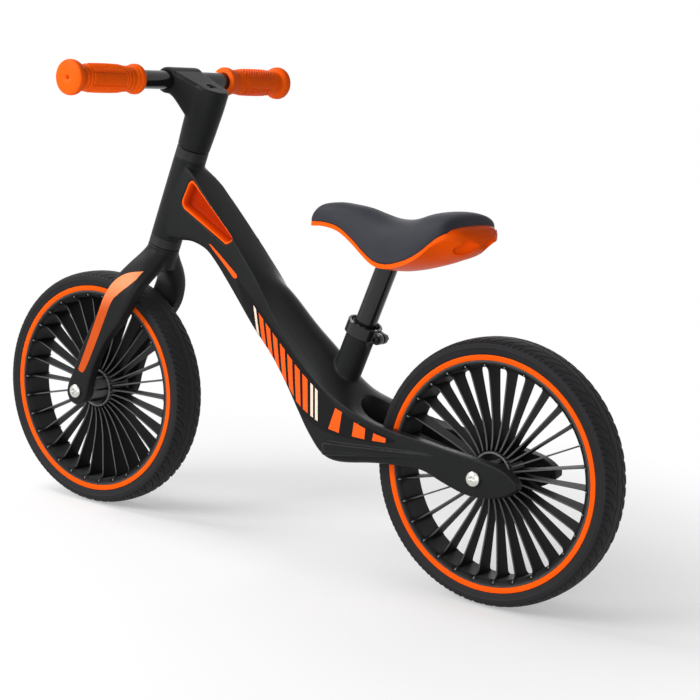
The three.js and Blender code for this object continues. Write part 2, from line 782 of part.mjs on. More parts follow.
function stemGeometry() {
  const reach = stemHalfWidth + cutOverrun;
  const barBore = turnedAcross(rodOutline(barRadius + fitGap, -reach, reach));
  const cuts = [
    barBore.translate(barForward, 0, barHeight),
    turned(rodOutline(steererRadius + fitGap, headLength - cutOverrun, stemBoreTop)),
    turned(rodOutline(stemBoltRadius + fitGap, headLength, stemFrontTop)),
    turned(rodOutline(stemBoltHeadRadius + fitGap,
      stemRearTop - stemBoltRecess, stemFrontTop + cutOverrun)),
  ].map(toSolid);
  return toGeometry(cutAway(stemSolid(), ...cuts));
}

function stemBoltGeometry() {
  const seat = stemRearTop - stemBoltRecess + fitGap;
  const top = seat + stemBoltHeadHeight;
  const bolt = toSolid(turned([
    [0, seat - stemBoltLength], [stemBoltRadius, seat - stemBoltLength],
    [stemBoltRadius, seat], [stemBoltHeadRadius, seat], [stemBoltHeadRadius, top], [0, top],
  ], boltFacets));
  const socket = turned(rodOutline(stemBoltSocket, top - stemBoltHeadHeight / 2, top + cutOverrun), 6);
  return toGeometry(bolt.subtract(toSolid(socket)));
}

// Expander wedge that the stem bolt draws up inside the steerer
function wedgeGeometry() {
  const low = stemRearTop - stemBoltRecess - stemBoltLength;
  const radius = steererRadius - tubeWall - fitGap;
  const body = toSolid(turned(rodOutline(radius, low, low + wedgeHeight)));
  const slope = new THREE.Shape([
    new THREE.Vector2(-radius - fitGap, low + wedgeHeight + cutOverrun),
    new THREE.Vector2(-radius - fitGap, low + wedgeHeight),
    new THREE.Vector2(radius + fitGap, low + wedgeHeight - wedgeSlope),
    new THREE.Vector2(radius + fitGap, low + wedgeHeight + cutOverrun),
  ]);
  const bore = turned(rodOutline(stemBoltRadius + fitGap, low - cutOverrun, stemRearTop));
  return toGeometry(cutAway(body, toSolid(slab(slope, -headRadius, headRadius)), toSolid(bore)));
}

const steererGeometry = () => turned(ringOutline(
  steererRadius - tubeWall, steererRadius, fitGap - steererDepth, steererReach));
const barGeometry = () => turnedAcross(ringOutline(
  barRadius - tubeWall, barRadius, -barHalfLength, barHalfLength));

function gripGeometry(sign) {
  const bore = barRadius + fitGap;
  const endWall = barHalfLength + fitGap;
  const crown = gripOuterEnd - gripFlangeWidth;
  const outline = [
    [bore, gripInnerEnd], [gripCollarRadius * 0.96, gripInnerEnd],
    [gripCollarRadius, gripInnerEnd + gripCollarWidth / 3],
    [gripCollarRadius, gripInnerEnd + gripCollarWidth * 0.6],
    [gripCollarRadius - gripCollarStep, gripInnerEnd + gripCollarWidth * 0.65],
    [gripCollarRadius - gripCollarStep, gripInnerEnd + gripCollarWidth],
    [gripRadius, gripInnerEnd + gripCollarWidth + gripTaper / 2],
    [gripRadius + gripBulge, (gripInnerEnd + gripCollarWidth + crown) / 2],
    [gripRadius, crown - gripTaper / 2],
    [gripFlangeRadius * 0.97, crown + gripTaper / 3],
    [gripFlangeRadius, gripOuterEnd - gripFlangeWidth / 2],
    [gripFlangeRadius * 0.97, gripOuterEnd - gripTaper / 2],
    [gripFlangeRadius * 0.8, gripOuterEnd],
    [gripVentRadius, gripOuterEnd], [gripVentRadius, endWall],
    [bore, endWall], [bore, gripInnerEnd],
  ];
  return turnedAcross(outline.map(([radius, height]) => [radius, sign * height]));
}

// Seat clamp round the slit top of the seat tube
function clampGeometry() {
  const inner = seatTubeRadius + fitGap;
  const outer = inner + clampThickness;
  const low = clampLip - clampHeight;
  const band = toSolid(turned(ringOutline(inner, outer, low, clampLip)));
  const earReach = outer + earLength;
  const mid = (low + clampLip) / 2;
  const earHalf = clampHeight * 0.42;
  const ear = new THREE.Shape();
  ear.moveTo(-inner - clampThickness / 2, mid - earHalf);
  ear.lineTo(-earReach + earHalf, mid - earHalf);
  ear.absarc(-earReach + earHalf, mid, earHalf, -Math.PI / 2, Math.PI / 2, true);
  ear.lineTo(-inner - clampThickness / 2, mid + earHalf);
  const ears = toSolid(slab(ear, -clampSlit / 2 - earThickness, clampSlit / 2 + earThickness, 8));
  const slit = box([-earReach - cutOverrun, -clampSlit / 2, low - cutOverrun],
    [0, clampSlit / 2, clampLip + cutOverrun]);
  const reach = earThickness + clampSlit + cutOverrun;
  const hole = turnedAcross(rodOutline(clampBoltRadius + fitGap, -reach, reach), boltFacets);
  const holeAt = -earReach + earHalf;
  return toGeometry(cutAway(band.add(ears), toSolid(slit),
    toSolid(hole.translate(holeAt, 0, mid))));
}

const clampBoltPlace = () => {
  const outer = seatTubeRadius + fitGap + clampThickness;
  return [-outer - earLength + clampHeight * 0.42, 0, clampLip - clampHeight / 2];
};
const earFace = clampSlit / 2 + earThickness + fitGap;

function clampBoltGeometry() {
  const end = -earFace - clampBoltHeadHeight * 1.6;
  const outer = earFace + clampBoltHeadHeight;
  const bolt = toSolid(turnedAcross([
    [0, end], [clampBoltRadius, end], [clampBoltRadius, earFace],
    [clampBoltHeadRadius, earFace], [clampBoltHeadRadius, outer], [0, outer],
  ], boltFacets));
  const socket = turnedAcross(rodOutline(clampBoltHeadRadius * 0.5,
    outer - clampBoltHeadHeight / 2, outer + cutOverrun), 6);
  return toGeometry(bolt.subtract(toSolid(socket)));
}

function clampNutGeometry() {
  const outer = -earFace - clampBoltHeadHeight;
  const hex = toSolid(turnedAcross(rodOutline(clampBoltHeadRadius, outer, -earFace), 6));
  const bore = rodOutline(clampBoltRadius + fitGap, outer - cutOverrun, 0);
  return toGeometry(hex.subtract(toSolid(turnedAcross(bore, boltFacets))));
}

const postGeometry = () => turned(ringOutline(
  postRadius - postWall, postRadius, -postInsertion, postExposed + postSocket));

function postPlugGeometry() {
  const top = postExposed + postSocket;
  const radius = postRadius - postWall - fitGap;
  return turned(ringOutline(saddleScrewRadius + fitGap, radius, top - plugDepth, top));
}

function saddleScrewGeometry() {
  const seat = postExposed + postSocket + fitGap;
  const end = seat - plugDepth;
  const top = seat + saddleScrewHeadHeight;
  return turned([
    [0, end], [saddleScrewRadius, end], [saddleScrewRadius, seat],
    [saddleScrewHead, seat], [saddleScrewHead * 0.7, top], [0, top],
  ], boltFacets);
}

// Saddle: stations from nose to tail, as shares of its length, half width and
// height: [along, half width, top, edge, belly]
const saddleStationShares = [
  [0.004, 0.1, 0.64, 0.59, 0.55],
  [0.02, 0.25, 0.74, 0.59, 0.545],
  [0.05, 0.34, 0.85, 0.605, 0.54],
  [0.143, 0.41, 0.925, 0.62, 0.545],
  [0.234, 0.45, 0.92, 0.57, 0.485],
  [0.325, 0.49, 0.895, 0.42, 0.32],
  [0.407, 0.56, 0.835, 0.265, 0.15],
  [0.49, 0.66, 0.785, 0.155, 0.03],
  [0.577, 0.77, 0.79, 0.14, 0],
  [0.688, 0.91, 0.87, 0.22, 0.06],
  [0.762, 0.985, 0.955, 0.31, 0.13],
  [0.83, 1, 0.995, 0.445, 0.225],
  [0.88, 0.95, 0.985, 0.6, 0.31],
  [0.925, 0.88, 0.97, 0.74, 0.4],
  [0.962, 0.73, 0.94, 0.81, 0.5],
  [0.985, 0.53, 0.9, 0.83, 0.58],
  [0.998, 0.3, 0.86, 0.835, 0.66],
];
const saddleSteps = 20;
const keelSquareness = 0.65;
const saddleTurns = [0, 20, 40, 60, 80, 100, 120, 140, 160, 180];

// Smooth stations: x holds the place along, then two curves carry the rest
function saddleStations() {
  const pick = (a, b, c) => curveThrough(saddleStationShares.map((s) =>
    new THREE.Vector3(s[a], s[b], s[c])));
  const [plan, under] = [pick(0, 1, 2), pick(0, 3, 4)];
  return Array.from({ length: saddleSteps + 1 }, (_, i) => {
    const [p, q] = [plan, under].map((curve) => curve.getPoint(i / saddleSteps));
    return {
      x: saddleNose - p.x * saddleLength,
      half: p.y * saddleHalfWidth,
      top: p.z * saddleHeight - saddleDatum,
      edge: q.y * saddleHeight - saddleDatum,
      belly: q.z * saddleHeight - saddleDatum,
    };
  });
}

// Arch from one side to the other at a station, rising from the edge height
function saddleArch(x, half, edge, rise, squareness = 0.8) {
  return saddleTurns.map((turn) => {
    const [cos, sin] = [Math.cos(degrees(turn)), Math.sin(degrees(turn))];
    const y = half * Math.sign(cos) * Math.abs(cos) ** squareness;
    return new THREE.Vector3(x, y, edge + rise * sin ** squareness);
  });
}

function saddlePadGeometry() {
  const rings = saddleStations().map(({ x, half, top, edge }) => {
    const rise = top - edge;
    const lip = Math.min(trimLip, half / 3);
    const inside = rise - Math.min(padThickness, rise / 2);
    const under = saddleArch(x, half - lip, edge + fitGap, inside);
    return [...saddleArch(x, half, edge + fitGap, rise - fitGap), ...under.reverse()];
  });
  return loft(rings);
}

function saddleBaseGeometry() {
  const rings = saddleStations().map(({ x, half, top, edge, belly }) => {
    const rise = top - edge;
    const lip = Math.min(trimLip, half / 3) + padGap;
    const inside = Math.max(rise - Math.min(padThickness, rise / 2) - padGap, fitGap);
    const dome = saddleArch(x, half - lip, edge, inside);
    const keel = saddleArch(x, half, edge, belly - edge, keelSquareness).reverse();
    return [...dome, ...keel];
  });
  const shell = toSolid(loft(rings));
  const socket = postExposed + postSocket + fitGap;
  const cuts = [
    rodOutline(postRadius + fitGap, 0, socket),
    rodOutline(saddleScrewHead + fitGap, 0, socket + saddleScrewHeadHeight * 4),
  ].map((outline) => toSolid(turned(outline).rotateY(-seatTilt)
    .translate(...seatTop.clone().sub(saddleSeat).toArray())));
  return toGeometry(cutAway(shell, ...cuts));
}

// The bike, put together
place(bike, 'frame', frameGeometry(), blackShell());
place(bike, 'window_insert_left', windowInsertGeometry(1), orange());
place(bike, 'window_insert_right', windowInsertGeometry(-1), orange());
place(steering, 'lower_headset_cup', cupGeometry(false), blackShell());
place(steering, 'upper_headset_cup', cupGeometry(true), blackShell());
place(steering, 'fork', forkGeometry(), blackShell());
place(steering, 'steerer_tube', steererGeometry(), blackSteel());
place(steering, 'stem', stemGeometry(), blackShell());
place(steering, 'stem_bolt', stemBoltGeometry(), blackSteel());
place(steering, 'expander_wedge', wedgeGeometry(), steel());
const bar = new THREE.Group();
bar.position.set(barForward, 0, barHeight);
steering.add(bar);
place(bar, 'handlebar', barGeometry(), glossBlack());
place(bar, 'grip_left', gripGeometry(1), orange());
place(bar, 'grip_right', gripGeometry(-1), orange());
place(seatAxis, 'seat_clamp', clampGeometry(), blackSteel());
const clampBolt = place(seatAxis, 'seat_clamp_bolt', clampBoltGeometry(), blackSteel());
const clampNut = place(seatAxis, 'seat_clamp_nut', clampNutGeometry(), blackSteel());
clampBolt.position.set(...clampBoltPlace());
clampNut.position.set(...clampBoltPlace());
place(seatAxis, 'seat_post', postGeometry(), glossBlack());
place(seatAxis, 'post_plug', postPlugGeometry(), blackRim());
place(seatAxis, 'saddle_screw', saddleScrewGeometry(), zinc());
place(saddleGroup, 'saddle_base', saddleBaseGeometry(), orange());
place(saddleGroup, 'saddle_pad', saddlePadGeometry(), padSkin());
addWheel('front', frontAxle);
addWheel('rear', rearAxle);
addAxle('front', frontAxle);
addAxle('rear', rearAxle);

export default bike;
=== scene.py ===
import math
import bmesh
import bpy
import numpy as np
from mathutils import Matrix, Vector
from mathutils.bvhtree import BVHTree


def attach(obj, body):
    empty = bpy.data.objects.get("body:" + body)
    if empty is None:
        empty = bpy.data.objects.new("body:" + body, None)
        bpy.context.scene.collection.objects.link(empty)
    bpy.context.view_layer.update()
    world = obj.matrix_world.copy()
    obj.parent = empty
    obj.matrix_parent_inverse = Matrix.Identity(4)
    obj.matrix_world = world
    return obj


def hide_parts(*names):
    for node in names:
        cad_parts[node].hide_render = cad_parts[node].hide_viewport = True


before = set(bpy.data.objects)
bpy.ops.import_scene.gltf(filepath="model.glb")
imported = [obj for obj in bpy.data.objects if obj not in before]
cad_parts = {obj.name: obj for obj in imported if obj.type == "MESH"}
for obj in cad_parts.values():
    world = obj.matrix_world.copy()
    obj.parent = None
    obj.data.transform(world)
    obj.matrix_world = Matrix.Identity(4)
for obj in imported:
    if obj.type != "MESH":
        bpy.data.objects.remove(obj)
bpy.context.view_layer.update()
MM = 0.001

# Viewpoint: the lens stands behind the bike on the rider's left, a little above the
# saddle, and rolls by a few degrees. Millimetre figures turn into metres with MM.
camera = bpy.data.objects.new("camera", bpy.data.cameras.new("camera"))
bpy.context.scene.collection.objects.link(camera)
camera.location = (-1.2655, 1.6539, 0.5928)
camera.rotation_euler = [math.radians(turn) for turn in (80.401, -3.466, -143.914)]
camera.data.sensor_width = 36
camera.data.lens = 93.11
camera.data.clip_end = 100
bpy.context.scene.camera = camera

# Studio: a white paper floor that runs into white air. The key soft box stands ahead of
# the bike on its left, one hangs high in front, and two light the near and far sides.
bpy.context.scene.view_settings.view_transform = "Standard"


def node(tree, kind, feeds=(), **traits):
    """Adds a shader node with its traits, and sets its inputs or links them to outputs."""
    made = tree.nodes.new("ShaderNode" + kind)
    for trait, value in traits.items():
        setattr(made, trait, value)
    for socket, value in dict(feeds).items():
        if isinstance(value, bpy.types.NodeSocket):
            tree.links.new(value, made.inputs[socket])
        else:
            made.inputs[socket].default_value = value
    return made.outputs


def either(tree, one, other):
    """The greater of two shares."""
    return node(tree, "Math", {0: one, 1: other}, operation="MAXIMUM")[0]


def spread(tree, value, low, high):
    """Carries a value from between nought and one to between low and high."""
    return node(tree, "MapRange", {"Value": value, "To Min": low, "To Max": high})[0]


world = bpy.data.worlds.new("studio")
bpy.context.scene.world = world
world.use_nodes = True
air = world.node_tree
air.nodes.clear()
ray = node(air, "LightPath")
fill = node(air, "Background", {"Color": (0.93, 0.96, 1, 1), "Strength": 0.16})[0]
white = node(air, "Background", {"Color": (1, 1, 1, 1), "Strength": 1})[0]
# The lens and shiny or clear parts see plain white, and the dim fill does the lighting
seen = either(air, ray["Is Camera Ray"], ray["Is Transmission Ray"])
shown = either(air, seen, ray["Is Glossy Ray"])
mixed = node(air, "MixShader", {"Fac": shown, 1: fill, 2: white})[0]
node(air, "OutputWorld", {"Surface": mixed})


def soft_box(name, place, aim, width, height, power):
    lamp = bpy.data.lights.new(name, "AREA")
    lamp.shape = "RECTANGLE"
    lamp.size, lamp.size_y, lamp.energy = width, height, power
    stand = bpy.data.objects.new(name, lamp)
    bpy.context.scene.collection.objects.link(stand)
    stand.location = place
    stand.rotation_euler = (Vector(aim) - Vector(place)).to_track_quat("-Z", "Y").to_euler()


soft_box("lamp_key", place=(1.1, 2.1, 1.4), aim=(0, 0, 0.3), width=1.5, height=1.3, power=55)
soft_box("lamp_over", place=(1.6, 0.3, 2.3), aim=(0, 0, 0.2), width=1.3, height=1.2, power=34)
soft_box("lamp_side", place=(-1.5, 2.3, 0.5), aim=(-0.2, 0, 0.3), width=1.4, height=0.9, power=28)
soft_box("lamp_far", place=(1.2, -2.4, 0.8), aim=(0, 0, 0.25), width=1.5, height=1.0, power=9)

floor_mesh = bpy.data.meshes.new("floor")
floor_mesh.from_pydata([(-40, -40, 0), (40, -40, 0), (40, 40, 0), (-40, 40, 0)], [], [(0, 1, 2, 3)])
floor = bpy.data.objects.new("floor", floor_mesh)
bpy.context.scene.collection.objects.link(floor)
paper = bpy.data.materials.new("white_paper")
paper.use_nodes = True
sheet = paper.node_tree
sheet.nodes.clear()
ray = node(sheet, "LightPath")
matt = node(sheet, "BsdfDiffuse", {"Color": spread(sheet, ray["Is Camera Ray"], 0.85, 1)})[0]
glow = node(sheet, "Emission", {"Strength": 1})[0]
# Under the bike the paper is matt and takes its shadow, and further out it turns to white
place = node(sheet, "NewGeometry")["Position"]
run = node(sheet, "VectorMath", {0: place}, operation="LENGTH")["Value"]
fade = node(sheet, "MapRange", {"Value": run, "From Min": 0.3, "From Max": 0.85,
                                "To Min": 0.35, "To Max": 1}, interpolation_type="SMOOTHSTEP")[0]
seen = either(sheet, ray["Is Camera Ray"], ray["Is Glossy Ray"])
share = node(sheet, "Math", {0: seen, 1: fade}, operation="MULTIPLY")[0]
mixed = node(sheet, "MixShader", {"Fac": share, 1: matt, 2: glow})[0]
node(sheet, "OutputMaterial", {"Surface": mixed})
floor_mesh.materials.append(paper)

# Frame: one hollow nylon moulding, black with a fine spark-eroded grain, that runs
# from the head tube to both dropouts. The seat tube, footrests and wheel slot are in it.
ACROSS = np.array([0, 1.0, 0])
SIDES = (("left", 1), ("right", -1))
REAR = np.array([-292.5, 0, 147])
HEAD_UP = np.array([-0.309017, 0, 0.951057])
HEAD_FORWARD = np.array([0.951057, 0, 0.309017])
HEAD_FOOT = np.array([201.45, 0, 337.59])
HEAD_LENGTH = 127
HEAD_TOP = HEAD_FOOT + HEAD_LENGTH * HEAD_UP
STAY_HALF = 50


def shade(colour, share, added=0):
    """A colour made paler or darker by a share, ready for a shader."""
    return (*[min(1, c * share + added) for c in colour], 1)


def blend(tree, one, other, share):
    """Mixes two colours, each of them fixed or from another shader node."""
    return node(tree, "Mix", {6: one, 7: other, 0: share}, data_type="RGBA")[2]


def bare_material(name):
    """A new material, its shader nodes and the one that makes its surface."""
    made = bpy.data.materials.new(name)
    made.use_nodes = True
    return made, made.node_tree, made.node_tree.nodes["Principled BSDF"]


def shell_plastic(name, colour, roughness, grain=0.35, depth=0.04, shine=0.25, edge_wear_and_highlight=0.012):
    """Moulded plastic: fine grain in the surface, faint mottling, and paler edges that are partly
    wear and partly a painted highlight.
    """
    plastic, tree, surface = bare_material(name)
    surface.inputs["Base Color"].default_value = (*colour, 1)
    surface.inputs["Specular IOR Level"].default_value = shine
    place = node(tree, "TexCoord")["Object"]
    cloud = node(tree, "TexNoise", {"Scale": 22, "Detail": 3, "Vector": place})["Fac"]
    tone = blend(tree, shade(colour, 0.82), shade(colour, 1.2), cloud)
    # The sharper the edge, the paler its colour: a little wear, and a painted highlight along ridges
    # and blade edges
    edge = node(tree, "NewGeometry")["Pointiness"]
    rub_and_highlight = node(tree, "MapRange", {"Value": edge, "From Min": 0.52, "From Max": 0.6, "To Max": 0.6})[0]
    worn_and_lit = blend(tree, tone, shade(colour, 1.5, edge_wear_and_highlight), rub_and_highlight)
    tree.links.new(worn_and_lit, surface.inputs["Base Color"])
    dull = spread(tree, cloud, roughness - 0.05, roughness + 0.06)
    tree.links.new(dull, surface.inputs["Roughness"])
    speck = node(tree, "TexNoise", {"Scale": 1 / (grain * MM), "Detail": 2, "Vector": place})["Fac"]
    rise = node(tree, "Bump", {"Strength": 0.35, "Distance": depth * MM, "Height": speck})[0]
    tree.links.new(rise, surface.inputs["Normal"])
    return plastic


def piece(name, points, faces, material=None):
    """A mesh from points in millimetres, its doubles joined and its faces turned outward."""
    mesh = bpy.data.meshes.new(name)
    mesh.from_pydata([tuple(p) for p in np.asarray(points, float) * MM], [], faces)
    tool = bmesh.new()
    tool.from_mesh(mesh)
    bmesh.ops.remove_doubles(tool, verts=tool.verts, dist=1e-6)
    bmesh.ops.recalc_face_normals(tool, faces=tool.faces)
    tool.to_mesh(mesh)
    tool.free()
    mesh.polygons.foreach_set("use_smooth", [True] * len(mesh.polygons))
    made = bpy.data.objects.new(name, mesh)
    bpy.context.scene.collection.objects.link(made)
    if material:
        mesh.materials.append(material)
    return made


def settle(made):
    """Turns a piece's modifiers into its own mesh."""
    sight = bpy.context.evaluated_depsgraph_get()
    fresh = bpy.data.meshes.new_from_object(made.evaluated_get(sight))
    made.modifiers.clear()
    made.data = fresh


def coated(made, material):
    """Gives a piece one material all over, whatever its cuts brought with them."""
    made.data.materials.clear()
    made.data.materials.append(material)


def skin(name, rings, material=None):
    """A closed skin over rings of points, one after another, with both ends shut."""
    rings = np.asarray(rings, float)
    rows, across = rings.shape[:2]
    faces = [(k * across + i, k * across + (i + 1) % across,
              (k + 1) * across + (i + 1) % across, (k + 1) * across + i)
             for k in range(rows - 1) for i in range(across)]
    faces += [tuple(range(across)), tuple((rows - 1) * across + i for i in range(across))]
    return piece(name, rings.reshape(-1, 3), faces, material)


def fair(rows, steps, ease, pace=slice(3, 6)):
    """Stations carried over by a smooth curve, then eased so that no kink is left."""
    rows = np.asarray(rows, float)
    span = np.r_[0, np.cumsum(np.linalg.norm(np.diff(rows[:, pace], axis=0), axis=1))]
    slope = np.gradient(rows, span, axis=0)
    at = np.linspace(0, span[-1], steps)
    i = np.clip(np.searchsorted(span, at) - 1, 0, len(span) - 2)
    gap = (span[i + 1] - span[i])[:, None]
    t = (at - span[i])[:, None] / gap
    out = ((2 * t**3 - 3 * t**2 + 1) * rows[i] + (t**3 - 2 * t**2 + t) * gap * slope[i]
           + (3 * t**2 - 2 * t**3) * rows[i + 1] + (t**3 - t**2) * gap * slope[i + 1])
    for _ in range(ease):
        out[1:-1] = (out[:-2] + 2 * out[1:-1] + out[2:]) / 4
    return out


def swept(rows, around):
    """Faces over rows of points that close round each row and from the last to the first."""
    return [(k * around + i, k * around + (i + 1) % around,
             ((k + 1) % rows) * around + (i + 1) % around, ((k + 1) % rows) * around + i)
            for k in range(rows) for i in range(around)]


def turned(name, outline, foot, up, material=None, facets=96):
    """A turned piece: [radius, height] pairs swept round the line from foot along up."""
    foot, up = np.asarray(foot, float), np.asarray(up, float)
    side = ACROSS if abs(up[1]) < 0.5 else np.array([1.0, 0, 0])
    other = np.cross(up, side)
    angle = np.arange(facets) * 2 * math.pi / facets
    rings = []
    for radius, height in outline:
        rings.append(foot + up * height + max(radius, 1e-4) * (
            np.outer(np.cos(angle), side) + np.outer(np.sin(angle), other)))
    return piece(name, np.array(rings).reshape(-1, 3), swept(len(outline), facets), material)


def rod(name, radius, low, high, foot, up, facets=64):
    return turned(name, [(0, low), (radius, low), (radius, high), (0, high)], foot, up, None, facets)


def prism(name, outline, low, high):
    """An outline of (x, z) points given a thickness across the bike."""
    return skin(name, [[(x, y, z) for x, z in outline] for y in (low, high)])


def fused(made, *others, cut=False):
    """Adds other solids to a piece, or cuts them out of it, and clears them away."""
    for other in others:
        joint = made.modifiers.new("joint", "BOOLEAN")
        joint.operation = "DIFFERENCE" if cut else "UNION"
        joint.solver = "MANIFOLD"
        joint.object = other
        settle(made)
        bpy.data.objects.remove(other)


def polished(made, passes, group=""):
    """Eases a piece's surface, all of it or only one group of its points."""
    polish = made.modifiers.new("polish", "SMOOTH")
    polish.factor = 0.5
    polish.iterations = passes
    polish.vertex_group = group
    settle(made)


def moulded(made, grain, passes, where, joint_passes):
    """Runs the sharp joints of a piece into one another as moulding does."""
    crumb = made.modifiers.new("crumb", "REMESH")
    crumb.mode = "VOXEL"
    crumb.voxel_size = grain * MM
    crumb.use_smooth_shade = True
    polished(made, passes)
    places = np.empty(len(made.data.vertices) * 3)
    made.data.vertices.foreach_get("co", places)
    weight = where(places.reshape(-1, 3) / MM)
    group = made.vertex_groups.new(name="joints")
    for index in np.nonzero(weight > 0.01)[0]:
        group.add([int(index)], float(weight[index]), "REPLACE")
    polished(made, joint_passes, "joints")
    made.vertex_groups.clear()


def fitted(made, body, part):
    """Says what a piece moves with, and hides the solid it stands for."""
    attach(made, body)
    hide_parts(part)


# Stations from the head to the stay tips: the top, the ridge and the lower corner, each
# as shares of the way from the rear axle to the head, and of STAY_HALF to the side
beam_stations = [
    [[1.01, 0.954], [1.004, 0.944, 0.34], [0.988, 1.085, 0.34]],
    [[0.973, 0.922], [0.977, 0.918, 0.35], [0.939, 1.07, 0.34]],
    [[0.936, 0.873], [0.938, 0.873, 0.42], [0.892, 1.08, 0.38]],
    [[0.9, 0.822], [0.903, 0.822, 0.44], [0.848, 1.053, 0.4]],
    [[0.843, 0.739], [0.845, 0.739, 0.45], [0.805, 0.977, 0.41]],
    [[0.779, 0.645], [0.784, 0.645, 0.47], [0.746, 0.814, 0.42]],
    [[0.72, 0.563], [0.716, 0.533, 0.5], [0.675, 0.613, 0.46]],
    [[0.659, 0.508], [0.654, 0.415, 0.54], [0.607, 0.451, 0.51]],
    [[0.577, 0.405], [0.582, 0.31, 0.59], [0.548, 0.276, 0.59]],
    [[0.498, 0.315], [0.507, 0.222, 0.68], [0.509, 0.147, 0.66]],
    [[0.43, 0.215], [0.441, 0.177, 0.79], [0.462, 0.022, 0.81]],
    [[0.384, 0.161], [0.384, 0.149, 0.89], [0.406, -0.089, 0.9]],
    [[0.324, 0.106], [0.305, 0.119, 0.96], [0.278, -0.047, 0.96]],
    [[0.269, 0.0965], [0.236, 0.103, 0.98], [0.207, -0.029, 0.98]],
    [[0.192, 0.085], [0.162, 0.093, 1], [0.145, -0.021, 1]],
    [[0.052, 0.07], [0.052, 0.074, 1], [0.07, -0.079, 1]],
    [[-0.016, 0.06], [-0.016, 0.064, 1], [0.005, -0.115, 1]],
    [[-0.065, 0.055], [-0.065, 0.051, 1], [-0.06, -0.089, 1]],
    [[-0.098, 0.035], [-0.098, 0.031, 1], [-0.093, -0.045, 1]],
    [[-0.112, 0.014], [-0.112, 0.012, 1], [-0.104, -0.012, 1]],
]


def along_bike(share, end):
    x, z, *y = share
    return [REAR[0] + x * (end[0] - REAR[0]), (y[0] if y else 0) * STAY_HALF,
            REAR[2] + z * (end[2] - REAR[2])]


beam_rows = [along_bike(top, HEAD_TOP) + along_bike(ridge, HEAD_TOP) + along_bike(low, HEAD_FOOT)
             for top, ridge, low in beam_stations]
beam_rings = []
for row in fair(beam_rows, 150, 6):
    top, ridge, low = row[:3], row[3:6], row[6:]
    down = (low - ridge) * [1, 0, 1]
    down /= np.linalg.norm(down)
    bulge = 3 * (1 - ridge[1] / STAY_HALF)
    low = low + down * bulge * 1.1
    half = [top + (ridge - top) * [s**2.4, s, s**2.4] for s in np.linspace(0, 1, 9)]
    for s in np.linspace(0.12, 0.91, 7):
        half.append(ridge + (low - ridge) * s + [0, bulge * math.sin(s * math.pi), 0])
    start, end = half[-1], low * [1, 0.74, 1] + down * 1.3
    for s in np.linspace(0.2, 1, 5):
        half.append(start * (1 - s)**2 + low * 2 * s * (1 - s) + end * s**2)
    half.append(low * [1, 0.4, 1] + down * 1.5)
    middle = low * [1, 0, 1] + down * 1.5
    far_side = [p * [1, -1, 1] for p in half[1:]]
    beam_rings.append(half + [middle] + far_side[::-1])
shell = skin("frame_moulding", beam_rings)

SEAT_UP = np.array([-0.345298, 0, 0.938493])
SEAT_TOP = np.array([-104.93, 0, 283.07])
head_tube = rod("head_tube", 19.5, 12, 115, HEAD_FOOT, HEAD_UP)
seat_tube = rod("seat_tube", 16.8, -85, 0, SEAT_TOP, SEAT_UP)
ledge_stations = [
    [0.444, -0.0135, 0.86, 0.45], [0.434, -0.0105, 1, 0.9], [0.362, 0.0016, 0.82, 1],
    [0.322, 0.0093, 0.72, 1], [0.225, 0.0257, 0.53, 0.9], [0.153, 0.0353, 0.4, 0.6],
    [0.034, 0.045, 0.2, 0.05],
]
ledges = []
for sign in (1, -1):
    ledge_rings = []
    for x, z, tall, wide in ledge_stations:
        middle = along_bike([x, z], HEAD_TOP)
        half = 7.5 * tall
        face = STAY_HALF - 2 + 6 * wide
        edge = min(1.6, half / 2)
        # A crisp top edge over a face that is a little hollow, and a rounder lower edge
        ledge_rings.append([(middle[0], sign * y, middle[2] + z2) for y, z2 in (
            (38, -half), (face - edge * 1.4, -half), (face - 0.2, edge - half),
            (face - 0.9, 0), (face, half - 0.5), (face - 0.4, half), (38, half))])
    ledges.append(skin("ledge", ledge_rings))
fused(shell, head_tube, seat_tube, *ledges)

# The wheel slot: wide from behind to just past the axle, then narrower to a round nose
BEHIND, BEAM_RUN, SLOT_HALF, SLOT_WIDE = -440, 454.7, 29, 36
slot_steps = [(BEHIND, SLOT_WIDE), (REAR[0] + 0.105 * BEAM_RUN, SLOT_WIDE),
              (REAR[0] + 0.2 * BEAM_RUN, SLOT_HALF)]
slot_nose = REAR[0] + 0.397 * BEAM_RUN - SLOT_HALF
slot_outline = [(x, -y) for x, y in slot_steps]
for turn in np.linspace(-90, 90, 33):
    slot_outline.append((slot_nose + SLOT_HALF * math.cos(math.radians(turn)),
                         SLOT_HALF * math.sin(math.radians(turn))))
slot_outline += slot_steps[::-1]
slot_cut = skin("slot_cut", [[(x, y, z) for x, y in slot_outline] for z in (-20, 300)])


def rounded(corners, bends):
    """An outline with each corner run round, from a bend's length before to one after."""
    corners = np.asarray(corners, float)
    points = []
    for i, corner in enumerate(corners):
        before, after = corners[i - 1] - corner, corners[(i + 1) % len(corners)] - corner
        bend = min(bends[i], np.linalg.norm(before) / 2.05, np.linalg.norm(after) / 2.05)
        before = corner + before / np.linalg.norm(before) * bend
        after = corner + after / np.linalg.norm(after) * bend
        for s in np.linspace(0, 1, 10):
            points.append(before * (1 - s)**2 + corner * 2 * s * (1 - s) + after * s**2)
    return np.array(points)


def inset(corners, distance):
    """An outline with every side moved inward, or outward by a distance below nought."""
    corners = np.asarray(corners, float)
    middle = corners.mean(axis=0)
    lines = []
    for i, corner in enumerate(corners):
        along = corners[(i + 1) % len(corners)] - corner
        along /= np.linalg.norm(along)
        inward = np.array([-along[1], along[0]])
        if inward @ (middle - corner) < 0:
            inward = -inward
        lines.append((corner + inward * distance, along))
    moved = []
    for i, (start, along) in enumerate(lines):
        before, run = lines[i - 1]
        gap = start - before
        share = (gap[0] * along[1] - gap[1] * along[0]) / (run[0] * along[1] - run[1] * along[0])
        moved.append(before + run * share)
    return np.array(moved)


